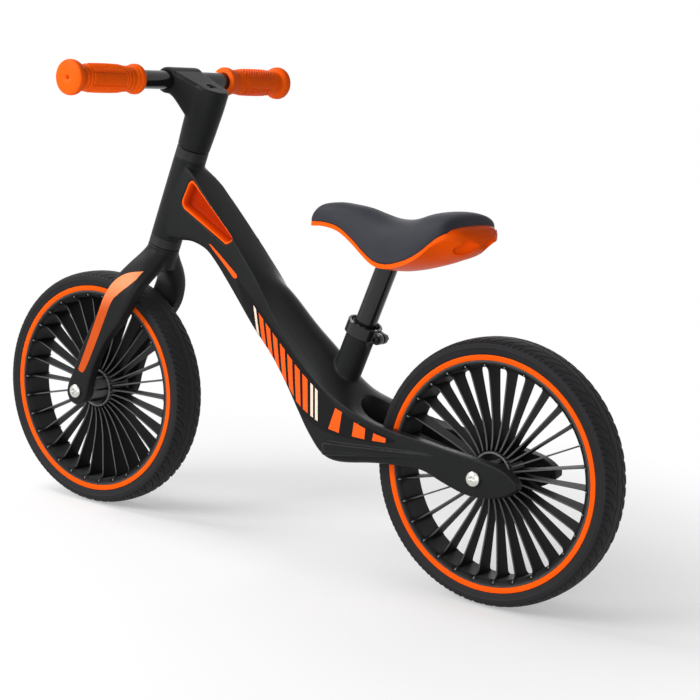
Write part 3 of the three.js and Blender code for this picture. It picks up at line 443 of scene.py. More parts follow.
window_corners = [(162.5, 391.5), (147.5, 426), (74.5, 359.2), (84.5, 350.6)]
window_bends = np.array([10, 10, 6.4, 6.4])
window_cut = prism("window_cut", rounded(window_corners, window_bends), -70, 70)
fused(shell, slot_cut, window_cut, cut=True)


def head_blend(places):
    """Where the beam runs into the head tube, and the seat tube into the beam."""
    from_foot = places - HEAD_FOOT
    behind, height = from_foot @ HEAD_FORWARD, from_foot @ HEAD_UP
    head = np.exp(-((behind + 9) / 13)**2) * (height > 14) * (height < 112)
    from_seat = places - (SEAT_TOP - 50 * SEAT_UP)
    seat = np.exp(-(np.linalg.norm(from_seat * [1, 0.8, 1], axis=1) / 30)**2)
    seat *= (places - SEAT_TOP) @ SEAT_UP < -16
    return np.clip(np.maximum(head, seat), 0, 1)


moulded(shell, 1.05, 2, head_blend, 40)
bores = [rod("bore", radius, low, high, HEAD_FOOT, HEAD_UP)
         for radius, low, high in ((13, -10, 137), (16.8, -10, 26.3), (16.8, 100.7, 137))]
bores += [rod("bore", 12.8, -113, 10, SEAT_TOP, SEAT_UP),
          rod("bore", 4.3, 0, 60, REAR, ACROSS), rod("bore", 5.8, -60, 0, REAR, ACROSS)]
fused(shell, *bores, cut=True)
# Its sharp edges are painted paler: partly wear, partly a painted highlight along the ridges
black_nylon = shell_plastic("black_nylon", (0.0115, 0.0119, 0.0121), 0.42, shine=0.08, edge_wear_and_highlight=0.04)
coated(shell, black_nylon)
fitted(shell, "frame", "frame")

# Frame graphics: thin printed vinyl on both sides of the beam. A slim spear leads into
# a black band with plain slanted bars, and three blocks close it towards the stays.


def flat_paint(name, colour, roughness=0.35, other=None, start=0, end=1):
    """Printed film: an even colour, or one that runs into another between two heights."""
    film, tree, surface = bare_material(name)
    surface.inputs["Roughness"].default_value = roughness
    surface.inputs["Specular IOR Level"].default_value = 0.12
    place = node(tree, "TexCoord")["Object"]
    haze = node(tree, "TexNoise", {"Scale": 60, "Vector": place})["Fac"]
    shown = blend(tree, shade(colour, 0.93), shade(colour, 1.06), haze)
    if other:
        height = node(tree, "SeparateXYZ", {0: place})["Z"]
        run = node(tree, "MapRange", {"Value": height, "From Min": start * MM, "From Max": end * MM},
                   interpolation_type="SMOOTHSTEP")[0]
        shown = blend(tree, shown, (*other, 1), run)
    tree.links.new(shown, surface.inputs["Base Color"])
    return film


def surface_of(made):
    """A piece's own surface, to lay films on."""
    tool = bmesh.new()
    tool.from_mesh(made.data)
    tree = BVHTree.FromBMesh(tool)
    tool.free()
    return tree


CLEAR_OF_SIDE = 0.12  # metres out from the middle, beyond the side of every moulding


def sticker(name, outline, under, sign, film, lift, body="frame"):
    """A film cut to an (x, z) outline and pressed onto one side of a moulding."""
    tool = bmesh.new()
    face = tool.faces.new([tool.verts.new((x * MM, 0, z * MM)) for x, z in outline])
    bmesh.ops.triangulate(tool, faces=[face])
    for _ in range(12):
        long = [e for e in tool.edges if e.calc_length() > 2.6 * MM]
        if not long:
            break
        bmesh.ops.subdivide_edges(tool, edges=long, cuts=1)
        bmesh.ops.triangulate(tool, faces=tool.faces[:])
    for corner in tool.verts:
        start = Vector((corner.co.x, sign * CLEAR_OF_SIDE, corner.co.z))
        hit, normal, _, _ = under.ray_cast(start, Vector((0, -sign, 0)))
        if hit is not None:
            corner.co = hit + normal * lift * MM
    mesh = bpy.data.meshes.new(name)
    tool.to_mesh(mesh)
    tool.free()
    mesh.polygons.foreach_set("use_smooth", [True] * len(mesh.polygons))
    made = bpy.data.objects.new(name, mesh)
    bpy.context.scene.collection.objects.link(made)
    mesh.materials.append(film)
    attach(made, body)


def flowing(points, steps=6):
    """A smooth open line through a few (x, z) points."""
    points = np.asarray(points, float)
    ends = np.vstack([2 * points[0] - points[1], points, 2 * points[-1] - points[-2]])
    out = []
    for a, b, c, d in zip(ends, ends[1:], ends[2:], ends[3:]):
        for t in np.linspace(0, 1, steps, endpoint=False):
            out.append(0.5 * (2 * b + (c - a) * t + (2 * a - 5 * b + 4 * c - d) * t**2
                              + (3 * b - a - 3 * c + d) * t**3))
    return np.array(out + [points[-1]])


print_orange = flat_paint("print_orange", (0.86, 0.095, 0.005))
print_black = flat_paint("print_black", (0.004, 0.004, 0.0045), roughness=0.3)
print_pale = flat_paint("print_pale", (0.82, 0.62, 0.5))
band_under = flowing([(67, 316), (44, 268.5), (9, 227), (-27, 191), (-42, 176), (-74, 165),
                      (-97, 160.5), (-144, 161), (-182, 165.5), (-193, 168.7)])
band_over = flowing([(67, 316), (34, 289), (0, 261), (-39, 230), (-74, 208), (-104, 191),
                     (-130, 182), (-159, 176), (-193, 168.7)])
spear = [(112.7, 350), (109, 349.5), (92, 338), (66, 319), (65.5, 315), (71, 314.5), (90, 331),
         (106, 344)]
frame_skin = surface_of(shell)
bars = []
for low, width in ((31.5, 4.4), (22.5, 7.4), (11, 7.6), (-0.8, 7.8), (-12.9, 8), (-25.2, 8.2),
                   (-37.7, 8.4), (-50.4, 8.6), (-64, 4.4), (-72, 4.4)):
    # Each bar leans forward and spans the band, with a margin of black round it
    feet = [low, low - width]
    foot = np.interp(feet, band_under[::-1, 0], band_under[::-1, 1])
    tops = [low + 6, low + 6 - width]
    gap = np.interp(tops, band_over[::-1, 0], band_over[::-1, 1]) - foot
    bars.append(((feet[0], foot[0] + gap[0] * 0.14), (tops[0], foot[0] + gap[0] * 0.88),
                 (tops[1], foot[1] + gap[1] * 0.88), (feet[1], foot[1] + gap[1] * 0.14)))
blocks = [[(-100.8, 190.3), (-111.5, 187.7), (-109.9, 163.7), (-93.7, 165.6)],
          [(-130.6, 180.1), (-147, 175.5), (-146.9, 163.4), (-129, 163.6)],
          [(-158.8, 172.6), (-176.2, 169.9), (-175.9, 164.9), (-157.5, 163.9)]]
for side, sign in SIDES:
    sticker("band_" + side, [*band_under[:-1], *band_over[:0:-1]], frame_skin, sign,
            print_black, 0.15)
    sticker("spear_" + side, spear, frame_skin, sign, print_orange, 0.15)
    for k, bar in enumerate(bars):
        film = print_pale if k in (0, 8, 9) else print_orange
        sticker(f"bar_{k + 1}_{side}", bar, frame_skin, sign, film, 0.3)
    for k, block in enumerate(blocks):
        sticker(f"block_{k + 1}_{side}", block, frame_skin, sign, print_orange, 0.3)

# Window inserts: two orange mouldings pressed into the opening behind the head, each
# with a rounded raised lip and a deep tapering dish.
orange_plastic = shell_plastic("orange_plastic", (0.88, 0.088, 0.003), 0.36,
                               grain=0.5, depth=0.02, shine=0.02)


def crisp(made, turn=32):
    """Shades a piece smooth, but keeps edges sharper than this turn."""
    made.data.polygons.foreach_set("use_smooth", [True] * len(made.data.polygons))
    made.data.set_sharp_from_angle(angle=math.radians(turn))
    return made


# The inserts' orange is painted darker towards the floor of the dish: painted shade in the recess
window_plastic_painted_shade = orange_plastic.copy()
window_plastic_painted_shade.name = "window_plastic_painted_shade"
tree = window_plastic_painted_shade.node_tree
surface = tree.nodes["Principled BSDF"]
whole = surface.inputs["Base Color"].links[0].from_socket
across = node(tree, "SeparateXYZ", {0: node(tree, "TexCoord")["Object"]})["Y"]
from_middle = node(tree, "Math", {0: across}, operation="ABSOLUTE")[0]
deep = node(tree, "MapRange", {"Value": from_middle, "From Min": 19.5 * MM, "From Max": 9.5 * MM})[0]
# The dark red is the painted shade, full from 9.5 mm off the middle and gone beyond 19.5 mm
tree.links.new(blend(tree, whole, (0.36, 0.022, 0.001, 1), deep), surface.inputs["Base Color"])

around = rounded(inset(window_corners, -2.2), window_bends)
for side, sign in SIDES:
    # The lip follows the side of the frame round the opening
    stand = []
    for x, z in around:
        start = Vector((x * MM, sign * CLEAR_OF_SIDE, z * MM))
        hit = frame_skin.ray_cast(start, Vector((0, -sign, 0)))[0]
        stand.append(abs(hit.y) / MM if hit else 20)
    stand = np.array(stand)
    for _ in range(12):
        stand = (np.roll(stand, 1) + 2 * stand + np.roll(stand, -1)) / 4
    dish = []
    for distance, rise, depth in (
            (0.6, None, 0.4), (0.35, None, 0.8), (0.35, -0.8, 0), (0.5, 0.1, 0), (1, 0.5, 0),
            (1.9, 0.5, 0), (2.4, 0.1, 0), (2.7, -0.8, 0.06), (2.95, 0, 0.24), (3.3, 0, 0.5),
            (3.7, 0, 0.73), (4.2, 0, 0.89), (4.7, 0, 0.97), (5.2, 0, 1)):
        line = rounded(inset(window_corners, distance), window_bends * (1 - distance / 14))
        level = np.full(len(line), depth) if rise is None else stand + rise + (9 - stand) * depth
        dish.append([(x, sign * y, z) for (x, z), y in zip(line, level)])
    insert = skin("window_insert_" + side, dish, window_plastic_painted_shade)
    fitted(crisp(insert, 50), "frame", "window_insert_" + side)

# Headset cups: turned black nylon, one pressed into each end of the head tube. Fine
# rings run round the face that shows, and a dark joint parts each from its neighbour.
cup_nylon = shell_plastic("cup_nylon", (0.017, 0.0175, 0.0177), 0.48,
                          grain=0.3, depth=0.02, shine=0.13)
for name, flip in (("lower_headset_cup", False), ("upper_headset_cup", True)):
    face = [(11.6, 0.75), (18.7, 0.75), (19.4, 1.3)]
    for k in range(6):
        height = 2.6 + 1.45 * k
        face += [(19.4, height), (19.25, height + 0.25), (19.25, height + 0.45), (19.4, height + 0.7)]
    face += [(19.4, 11.6), (19.2, 11.9), (16.4, 11.9), (16.4, 25.8), (11.6, 25.8)]
    face = [(radius, HEAD_LENGTH - height if flip else height) for radius, height in face]
    cup = turned(name, face, HEAD_FOOT, HEAD_UP, cup_nylon)
    fitted(crisp(cup), "frame", name)

# Fork: one nylon moulding, like the frame. The crown spreads from a round neck into two
# flat legs that taper to rounded dropouts, with the steerer bore and axle holes cut in.
leg_rows = [[27.7 * forward, 43 * out, -209.4 * down, 15 * deep, 15 * thick, roll, soft]
            for forward, out, down, deep, thick, roll, soft in (
                (0, 0.1, 0.03, 1.12, 0.9, 15, 0.95), (0, 0.3, 0.09, 1.24, 0.85, 38, 0.95),
                (0.05, 0.62, 0.165, 1.3, 0.8, 45, 0.85), (0.15, 0.9, 0.258, 1.34, 0.7, 25, 0.6),
                (0.25, 1.01, 0.363, 1.36, 0.6, 5, 0.3), (0.42, 1.01, 0.478, 1.22, 0.53, 0, 0.1),
                (0.7, 1.01, 0.592, 1.05, 0.48, 0, 0), (0.97, 1, 0.788, 0.96, 0.4667, 0, 0),
                (1, 1, 0.92, 1.02, 0.4667, 0, 0), (1, 1, 1, 1.12, 0.4667, 0, 0),
                (1.02, 1, 1.06, 0.85, 0.44, 0, 0), (1.05, 1, 1.085, 0.4, 0.38, 0, 0))]


def on_steering(forward, across, up):
    """A place told from the foot of the head tube, along the steering axis and square to it."""
    return HEAD_FOOT + HEAD_FORWARD * forward + ACROSS * across + HEAD_UP * up


legs = []
for sign in (1, -1):
    leg_rings = []
    for forward, out, down, deep, thick, roll, soft in fair(leg_rows, 120, 4, slice(0, 3)):
        long, wide = max(2.6, deep * soft), max(2.6, thick * soft)
        cos, sin = math.cos(math.radians(roll)), math.sin(math.radians(roll))
        section = []
        for k, (fore, side) in enumerate(((1, 1), (-1, 1), (-1, -1), (1, -1))):
            for turn in np.radians(np.linspace(0, 90, 7) if k % 2 == 0 else np.linspace(90, 0, 7)):
                along = fore * (deep - long + long * math.cos(turn))
                aside = side * (thick - wide + wide * math.sin(turn))
                section.append(on_steering(forward + along, sign * (out + aside * cos),
                                           down + aside * sin))
        leg_rings.append(section)
    legs.append(skin("leg", leg_rings))
fork = rod("fork_moulding", 19.5, -27, 0, HEAD_FOOT, HEAD_UP)
fused(fork, *legs)


def crown_blend(places):
    height = (places - HEAD_FOOT) @ HEAD_UP
    return np.clip((-3.5 - height) / 9, 0, 1) * np.clip((height + 88) / 30, 0, 1)


moulded(fork, 1.1, 4, crown_blend, 45)
FRONT = np.array([292.5, 0, 147])
fused(fork, rod("bore", 11.35, -32, 10, HEAD_FOOT, HEAD_UP), rod("bore", 4.3, 0, 60, FRONT, ACROSS),
      rod("bore", 5.8, -60, 0, FRONT, ACROSS), cut=True)
coated(fork, black_nylon)
fitted(fork, "fork", "fork")

# Fork graphics: an orange flash printed on thin vinyl and pressed onto the outside of
# each leg. It grows paler towards the crown.
flash_film = flat_paint("flash_film", (0.52, 0.07, 0.006),
                        other=(0.84, 0.25, 0.1), start=250, end=292)
flash = flowing([(-9, -29), (8, -39), (19, -53), (25, -72), (28, -100), (34.5, -182)], 8)
flash = np.vstack([flash, flowing([(30, -184), (23, -173), (13, -86), (6, -66), (-3, -51),
                                   (-8, -40)], 8)])
flash_outline = [(HEAD_FOOT + HEAD_FORWARD * a + HEAD_UP * b)[[0, 2]] for a, b in flash]
fork_skin = surface_of(fork)
for side, sign in SIDES:
    sticker("flash_" + side, flash_outline, fork_skin, sign, flash_film, 0.18, "fork")

# Stem: a moulded nylon column on the steerer with a forward block round the bar. Its
# top is flat with run-over edges and a small recess for the clamp bolt.
stem = turned("stem_moulding", [(0, 127.4), (19.1, 127.4), (19.5, 127.9), (20.75, 150), (22, 181),
                                (22, 202.5), (20, 205), (0, 205)], HEAD_FOOT, HEAD_UP)
stem_rings = []
for forward, half, low, high in ((-6.8, 18.7, 164, 205), (12.2, 22.6, 164, 206.2),
                                 (23.6, 25, 172.1, 207.2), (35, 26, 178.4, 208.2),
                                 (54, 26, 182, 209)):
    stem_rings.append([on_steering(forward, across, up) for across, up in (
        (half, low + 4), (half, high - 3), (half - 3, high), (3 - half, high), (-half, high - 3),
        (-half, low + 4), (4 - half, low), (half - 4, low))])
BAR = on_steering(48, 0, 194.5)
fused(stem, skin("block", stem_rings), rod("boss", 15.5, -26, 26, BAR, ACROSS, 96))


def stem_blend(places):
    from_foot = places - HEAD_FOOT
    forward, height = from_foot @ HEAD_FORWARD, from_foot @ HEAD_UP
    return (np.clip((height - 140) / 25, 0, 1) * np.clip((46 - forward) / 20, 0, 1)
            * np.clip((204 - height) / 8, 0, 1))


moulded(stem, 1, 3, stem_blend, 40)
fused(stem, rod("bore", 11.3, -40, 40, BAR, ACROSS), rod("rim", 12.6, 25.2, 40, BAR, ACROSS),
      rod("rim", 12.6, -40, -25.2, BAR, ACROSS), rod("bore", 11.3, 110, 175, HEAD_FOOT, HEAD_UP),
      rod("bore", 4.3, 120, 208, HEAD_FOOT, HEAD_UP), rod("bore", 6.8, 196, 220, HEAD_FOOT, HEAD_UP),
      cut=True)
coated(stem, black_nylon)
fitted(stem, "fork", "stem")

# Steering hardware: a black steel steerer tube, the long stem bolt with a hexagon
# socket, and the steel wedge it draws up inside the tube.


def metal(name, colour, roughness):
    """Plated or blackened steel: a fine cloud runs through colour, roughness and surface."""
    plate, tree, surface = bare_material(name)
    surface.inputs["Metallic"].default_value = 1
    place = node(tree, "TexCoord")["Object"]
    cloud = node(tree, "TexNoise", {"Scale": 140, "Detail": 4, "Vector": place})["Fac"]
    tone = blend(tree, shade(colour, 0.8), (*colour, 1), cloud)
    tree.links.new(tone, surface.inputs["Base Color"])
    dull = spread(tree, cloud, roughness * 0.8, roughness * 1.3)
    tree.links.new(dull, surface.inputs["Roughness"])
    rise = node(tree, "Bump", {"Strength": 0.3, "Distance": 0.03 * MM, "Height": cloud})[0]
    tree.links.new(rise, surface.inputs["Normal"])
    return plate


black_steel = metal("black_steel", (0.02, 0.02, 0.021), 0.34)
plain_steel = metal("plain_steel", (0.3, 0.31, 0.32), 0.32)
steerer = turned("steerer_tube", [(9.4, -31.7), (9.9, -31.7), (11, -31), (11, 171.5), (10.6, 172),
                                  (9.4, 172)], HEAD_FOOT, HEAD_UP, black_steel)
fitted(crisp(steerer), "fork", "steerer_tube")
stem_bolt = turned("stem_bolt", [(0, 138.3), (3.5, 138.3), (4, 139), (4, 196.3), (6.5, 196.3),
                                 (6.5, 203.6), (5.8, 204.3), (0, 204.3)],
                   HEAD_FOOT, HEAD_UP, black_steel, 48)
fused(stem_bolt, rod("socket", 3, 200, 210, HEAD_FOOT, HEAD_UP, 6), cut=True)
fitted(crisp(stem_bolt), "fork", "stem_bolt")
wedge = rod("expander_wedge", 9.1, 138, 160, HEAD_FOOT, HEAD_UP, 48)
slope = [on_steering(a, 0, b)[[0, 2]] for a, b in ((-12, 172), (-12, 160.3), (12, 152.4), (12, 172))]
fused(wedge, prism("slope", slope, -20, 20), rod("bore", 4.3, 130, 180, HEAD_FOOT, HEAD_UP, 48),
      cut=True)
coated(wedge, plain_steel)
fitted(crisp(wedge), "fork", "expander_wedge")

# Handlebar: one straight steel tube in gloss black paint. It lies across the stem, whose
# block holds it by the middle.
gloss_black = shell_plastic("gloss_black", (0.004, 0.004, 0.0042), 0.14,
                            grain=4, depth=0.01, shine=0.4)
handlebar = turned("handlebar", [(9.4, -183), (10.6, -183), (11, -182.6), (11, 182.6), (10.6, 183),
                                 (9.4, 183)], BAR, ACROSS, gloss_black)
fitted(crisp(handlebar), "fork", "handlebar")

# Grips: soft orange rubber pushed over the bar ends. Each has a domed end, a stepped
# collar, a smooth panel front and back inside a sunk line, and slanted ribs between.
grip_rubber = shell_plastic("grip_rubber", (0.98, 0.1, 0.003), 0.46,
                            grain=0.4, depth=0.03, shine=0.06)


def groove(distance, width, depth):
    """A soft sunk line at distance nought."""
    return -depth * np.exp(-(distance / width)**2)


def grip_relief(turn, height):
    """How far the rubber stands in or out at a turn round the bar and a height along it."""
    facing = np.abs((turn + 90) % 180 - 90)
    out = groove(height - 166.5, 1.2, 1) + groove(height - 172.5, 1.2, 1)
    out += groove(height - 104.6, 1.2, 1) + groove(height - 98.6, 1.2, 0.9)
    panel = np.maximum(np.abs(height - 135.5) - 26.5, (facing - 28) * 0.27)
    out += groove(panel, 1.1, 1)
    rib = (np.clip((facing - 33) / 3, 0, 1) * np.clip((163 - height) / 2, 0, 1)
           * np.clip((height - 108) / 2, 0, 1))
    wave = (height - (facing - 33) * 0.25) * 2 * math.pi / 4.8
    return out + rib * 1.25 * (np.cos(wave) - 0.25)


for side, sign in SIDES:
    body_line = [(14.3 + 1.4 * math.sin((h - 88) / 88 * math.pi)**0.8 + 0.5 * (h - 88) / 88, h)
                 for h in np.arange(92, 176.1, 0.5)]
    line = [(11.4, 77.8), (15.8, 77.7), (17, 78.4), (17.6, 79.8), (17.7, 82), (17.5, 84.2),
            (16.9, 85.2), (16.3, 85.6), (16.2, 88), (15.9, 89.4), (14.7, 90.4), *body_line,
            (15.4, 177.2), (16.6, 178.4), (18.4, 179.6), (19.4, 181.2), (20, 183.2), (20.2, 185.4),
            (20.1, 187.4), (19.6, 188.8), (18.6, 189.7), (15, 190.5), (9, 190.9), (3.2, 191),
            (2.4, 190.2), (2.4, 183.6), (11.4, 183.4)]
    count = 288
    turns = np.arange(count) * 360 / count
    angle = np.radians(turns)
    rings = []
    for radius, height in line:
        reach = np.full(count, radius)
        if 92 < height < 176:
            reach += grip_relief(turns * sign, np.full(count, height))
        rings.append(BAR + ACROSS * sign * height + reach[:, None] * (
            np.outer(np.cos(angle), [-1, 0, 0]) + np.outer(np.sin(angle), [0, 0, 1])))
    grip = piece("grip_" + side, np.array(rings).reshape(-1, 3), swept(len(rings), count),
                 grip_rubber)
    fitted(crisp(grip, 60), "fork", "grip_" + side)

# Seat post: a gloss black steel tube. Inside its top sit a nylon plug and the screw
# that holds the saddle.
post = turned("seat_post", [(10.7, -70), (12, -70), (12.5, -69.4), (12.5, 92.2), (12, 92.7),
                            (10.7, 92.7)], SEAT_TOP, SEAT_UP, gloss_black)
fitted(crisp(post), "seat", "seat_post")
plug = turned("post_plug", [(3.3, 78.7), (10.2, 78.7), (10.4, 79), (10.4, 92.7), (3.3, 92.7)],
              SEAT_TOP, SEAT_UP, cup_nylon, 48)
fitted(crisp(plug), "seat", "post_plug")
zinc_plate = metal("zinc_plate", (0.72, 0.72, 0.68), 0.24)
screw = turned("saddle_screw", [(0, 79), (3, 79), (3, 93), (6, 93), (5.6, 95.4), (4.2, 97), (0, 97)],
               SEAT_TOP, SEAT_UP, zinc_plate, 48)
fitted(crisp(screw), "seat", "saddle_screw")

# Seat clamp: a black steel band round the slit top of the seat tube, drawn tight at the
# back by a small bolt and nut through its two ears.
SEAT_BACK = np.cross(SEAT_UP, ACROSS)


def on_seat(back, up):
    """A place in the middle plane, told from the top of the seat tube."""
    return SEAT_TOP + SEAT_BACK * back + SEAT_UP * up


CLAMP = on_seat(25, -6.5)
band = turned("seat_clamp", [(17.1, -14), (19.7, -14), (20.3, -13.4), (20.3, 0.4), (19.7, 1),
                             (17.1, 1)], SEAT_TOP, SEAT_UP)
ear = [on_seat(25 + 6.3 * math.cos(turn), -6.5 + 6.3 * math.sin(turn))
       for turn in np.linspace(-math.pi / 2, math.pi / 2, 24)]
ear = np.array([on_seat(18.7, -12.8), *ear, on_seat(18.7, -0.2)])
fused(band, prism("ears", ear[:, [0, 2]], -7.2, 7.2))
slit = [on_seat(a, b)[[0, 2]] for a, b in ((0, -25), (45, -25), (45, 12), (0, 12))]
fused(band, prism("slit", slit, -1.2, 1.2), rod("hole", 2.8, -20, 20, CLAMP, ACROSS), cut=True)
soften = band.modifiers.new("edges", "BEVEL")
soften.width = 0.5 * MM
soften.segments = 2
soften.limit_method = "ANGLE"
soften.angle_limit = math.radians(50)
settle(band)
coated(band, gloss_black)
fitted(crisp(band, 40), "frame", "seat_clamp")
clamp_bolt = turned("seat_clamp_bolt", [(0, -13.8), (2.2, -13.8), (2.5, -13.4), (2.5, 7.6),
                                        (4.6, 7.6), (4.6, 10.9), (4, 11.5), (0, 11.5)],
                    CLAMP, ACROSS, black_steel, 48)
fused(clamp_bolt, rod("socket", 2.3, 9.5, 20, CLAMP, ACROSS, 6), cut=True)
fitted(crisp(clamp_bolt), "frame", "seat_clamp_bolt")
clamp_nut = rod("seat_clamp_nut", 4.6, -11.5, -7.5, CLAMP, ACROSS, 6)
fused(clamp_nut, rod("bore", 2.8, -20, 0, CLAMP, ACROSS, 48), cut=True)
coated(clamp_nut, black_steel)
fitted(crisp(clamp_nut), "frame", "seat_clamp_nut")

# Saddle: a hard orange base with a proud trim edge and two finger hollows under the
# tail, and over it a soft slate cushion moulded to the same flowing edge.
SADDLE = np.array([-130.04, 0, 351.3])
saddle_rows = [[103 - 224 * along, 61 * half, 72 * top - 2, 72 * edge - 2, 72 * belly - 2]
               for along, half, top, edge, belly in (
                   (0.004, 0.1, 0.64, 0.59, 0.55), (0.02, 0.25, 0.74, 0.59, 0.545),
                   (0.05, 0.34, 0.85, 0.605, 0.54), (0.143, 0.41, 0.925, 0.62, 0.545),
                   (0.234, 0.45, 0.92, 0.57, 0.485), (0.325, 0.49, 0.895, 0.42, 0.32),
                   (0.407, 0.56, 0.835, 0.265, 0.15), (0.49, 0.66, 0.785, 0.155, 0.03),
                   (0.577, 0.77, 0.79, 0.14, 0), (0.688, 0.91, 0.87, 0.22, 0.06),
                   (0.762, 0.985, 0.955, 0.31, 0.13), (0.83, 1, 0.995, 0.445, 0.2),
                   (0.88, 0.95, 1, 0.6, 0.26), (0.925, 0.88, 0.975, 0.71, 0.32),
                   (0.962, 0.73, 0.905, 0.72, 0.4), (0.985, 0.55, 0.82, 0.67, 0.47),
                   (0.998, 0.29, 0.73, 0.61, 0.545))]
saddle_turns = np.linspace(0, math.pi, 41)


def saddle_arch(x, half, edge, rise):
    """An arch over the saddle from side to side, a little squarer than an ellipse."""
    cos, sin = np.cos(saddle_turns), np.maximum(np.sin(saddle_turns), 0)
    return SADDLE + np.stack([np.full(len(cos), x), half * np.sign(cos) * np.abs(cos)**0.8,
                              edge + rise * sin**0.8], 1)


pad_rings, base_rings = [], []
for x, half, top, edge, belly in fair(saddle_rows, 150, 5, slice(0, 3)):
    rise = top - edge
    lip = min(4, half / 3)
    inside = rise - min(20, rise / 2)
    over = saddle_arch(x, half, edge + 0.3, rise - 0.3)
    # The cushion's rim turns in a little above the trim
    over[0] += [0, -0.7, 0.1]
    over[-1] += [0, 0.7, 0.1]
    ring = np.array([*over, *saddle_arch(x, half - lip, edge + 0.3, inside)[::-1]])
    # Its tail stops short of the base and drops steeply
    late = np.clip((-92 - x) / 29, 0, 1)
    ring[:, 0] += 10.5 * late**2
    pad_rings.append(ring)
    hidden = max(inside - 0.7, 0.3)
    dome = saddle_arch(x, half - lip - 0.7, edge, hidden)
    # Trim: an upright band under the edge, then the hull falls away to the middle
    trim = min(4.8 + 3.4 * late, half / 2)
    low = min(belly, edge - trim - 0.8)
    slope = 3 * late
    hull = [SADDLE + [x, half - slope, edge + 0.3 * slope], SADDLE + [x, half, edge - trim * 0.5]]
    hull += [SADDLE + [x, half * a, low + (edge - trim - low) * abs(a)**(1.7 + 1.3 * late)]
             for a in np.cos(saddle_turns)]
    hull += [SADDLE + [x, -half, edge - trim * 0.5], SADDLE + [x, slope - half, edge + 0.3 * slope]]
    base_rings.append([*dome, *hull[::-1]])
pad_skin = shell_plastic("slate_skin", (0.03, 0.031, 0.038), 0.55,
                         grain=0.7, depth=0.05, shine=0.08)
pad = skin("saddle_pad", pad_rings, pad_skin)
fitted(pad, "seat", "saddle_pad")
base = skin("saddle_base", base_rings, orange_plastic)
for sign in (1, -1):
    # Finger hollow: a shallow teardrop, blunt at the side and pointed at the middle
    blunt, point = np.array([-239, sign * 38, 384.5]), np.array([-253, sign * 1.5, 388.5])
    outward = np.array([-0.76, sign * 0.32, -0.56])
    wide = np.cross(point - blunt, outward)
    wide /= np.linalg.norm(wide)
    dish = []
    for t in np.linspace(0.01, 0.99, 30):
        reach = 10.5 * math.sin(math.pi * t**0.62)
        dish.append([blunt + (point - blunt) * t
                     + reach * (wide * math.cos(turn) + 0.7 * outward * math.sin(turn))
                     for turn in np.linspace(0, 2 * math.pi, 48, endpoint=False)])
    fused(base, skin("hollow", dish), cut=True)
fused(base, rod("socket", 12.8, 60, 93, SEAT_TOP, SEAT_UP),
      rod("socket", 6.3, 60, 109, SEAT_TOP, SEAT_UP), cut=True)
fitted(crisp(base, 60), "seat", "saddle_base")

# Wheels: a foam tyre with a moulded tread on a black nylon rim whose thirty blades
# run from the hub ring to the barrel. An orange ring is snapped in on each side.


def tread(turn, across):
    """Depth of the tread: curved shoulder cuts, small nicks between and two long grooves."""
    side = np.abs(across)
    pitch = 360 / 66
    wander = pitch * 0.9 * (np.maximum(21.5 - side, 0) / 12)**1.6
    place = (turn * np.sign(across + 1e-9) - wander + (across < 0) * pitch * 0.4) % pitch
    near = np.minimum(place, pitch - place) / pitch * 14
    reach = np.clip((side - 7.5) / 2.5, 0, 1) * np.clip((22.2 - side) / 1.6, 0, 1)
    out = -2.1 * np.exp(-(near / (0.85 + 0.6 * reach))**2) * reach
    nick = (turn * np.sign(across + 1e-9) - wander * 0.6 + pitch * 0.5) % pitch
    near = np.minimum(nick, pitch - nick) / pitch * 14
    reach = np.clip((side - 15.5) / 1.5, 0, 1) * np.clip((22.4 - side) / 1.2, 0, 1)
    out += -1.5 * np.exp(-(near / 0.7)**2) * reach
    line = side - 5.2 - 0.8 * np.sin(np.radians(turn) * 33)
    return out - 1.1 * np.exp(-(line / 0.8)**2)


CROWN_FOOT = 139.6
tyre_line = [(123.2, 17.2), (129.7, 17.2), (129.7, 20.2), (130.2, 20.8), (132, 21.3), (134, 21.9),
             (135.6, 22.2), (136.4, 22.7), (137, 23.1), (137.7, 23.0), (138.4, 22.7),
             (CROWN_FOOT, 22.8)]
for turn in np.linspace(0, 90, 30)[1:]:
    # Crown from the shoulder over to the middle of the tread
    cos, sin = math.cos(math.radians(turn)), math.sin(math.radians(turn))
    tyre_line.append((CROWN_FOOT + 7.3 * sin**0.85, 22.8 * cos**0.85 if turn < 90 else 0))
tyre_line += [(radius, -across) for radius, across in tyre_line[-2::-1]]
tyre_line = np.array(tyre_line)
count = 1320
turns = np.arange(count) * 360 / count
angle = np.radians(turns)
rings = []
for radius, across in tyre_line:
    reach = np.full(count, radius)
    if radius > CROWN_FOOT + 0.1:
        # The cuts run out at the foot of the crown
        reach += tread(turns, np.full(count, across)) * min(1, (radius - CROWN_FOOT) / 2.5)
    rings.append(np.stack([reach * np.cos(angle), np.full(count, across), reach * np.sin(angle)], 1))
tyre_points = np.array(rings).reshape(-1, 3)
tyre_faces = swept(len(rings), count)
foam = shell_plastic("tyre_foam", (0.015, 0.015, 0.0163), 0.6, grain=0.6, depth=0.05, shine=0.12)
# Its blade edges are painted much paler: painted highlights on the edges, with a little wear
rim_nylon = shell_plastic("rim_nylon", (0.005, 0.005, 0.0052), 0.5,
                          grain=0.4, depth=0.012, shine=0.06, edge_wear_and_highlight=0.3)
blade_line = [(22.8, 14.5), (27, 12.8), (33, 10.8), (42, 9.1), (52, 8.3), (62, 8.2), (74, 8.9),
              (88, 9.9), (102, 11), (110, 11.8), (112.6, 12.7), (114.6, 14.6), (116, 17.3),
              (117, 20), (119, 20.2)]


def round_hub(count):
    """The way out and the way aside for so many even turns round a hub."""
    for k in range(count):
        turn = math.radians(360 / count * k + 1.5)
        out = np.array([math.cos(turn), 0, -math.sin(turn)])
        yield out, np.cross(out, ACROSS)


def facing(outline, sign):
    """A turned outline laid out to the left or the right of the wheel's middle."""
    return [(radius, sign * across) for radius, across in outline]


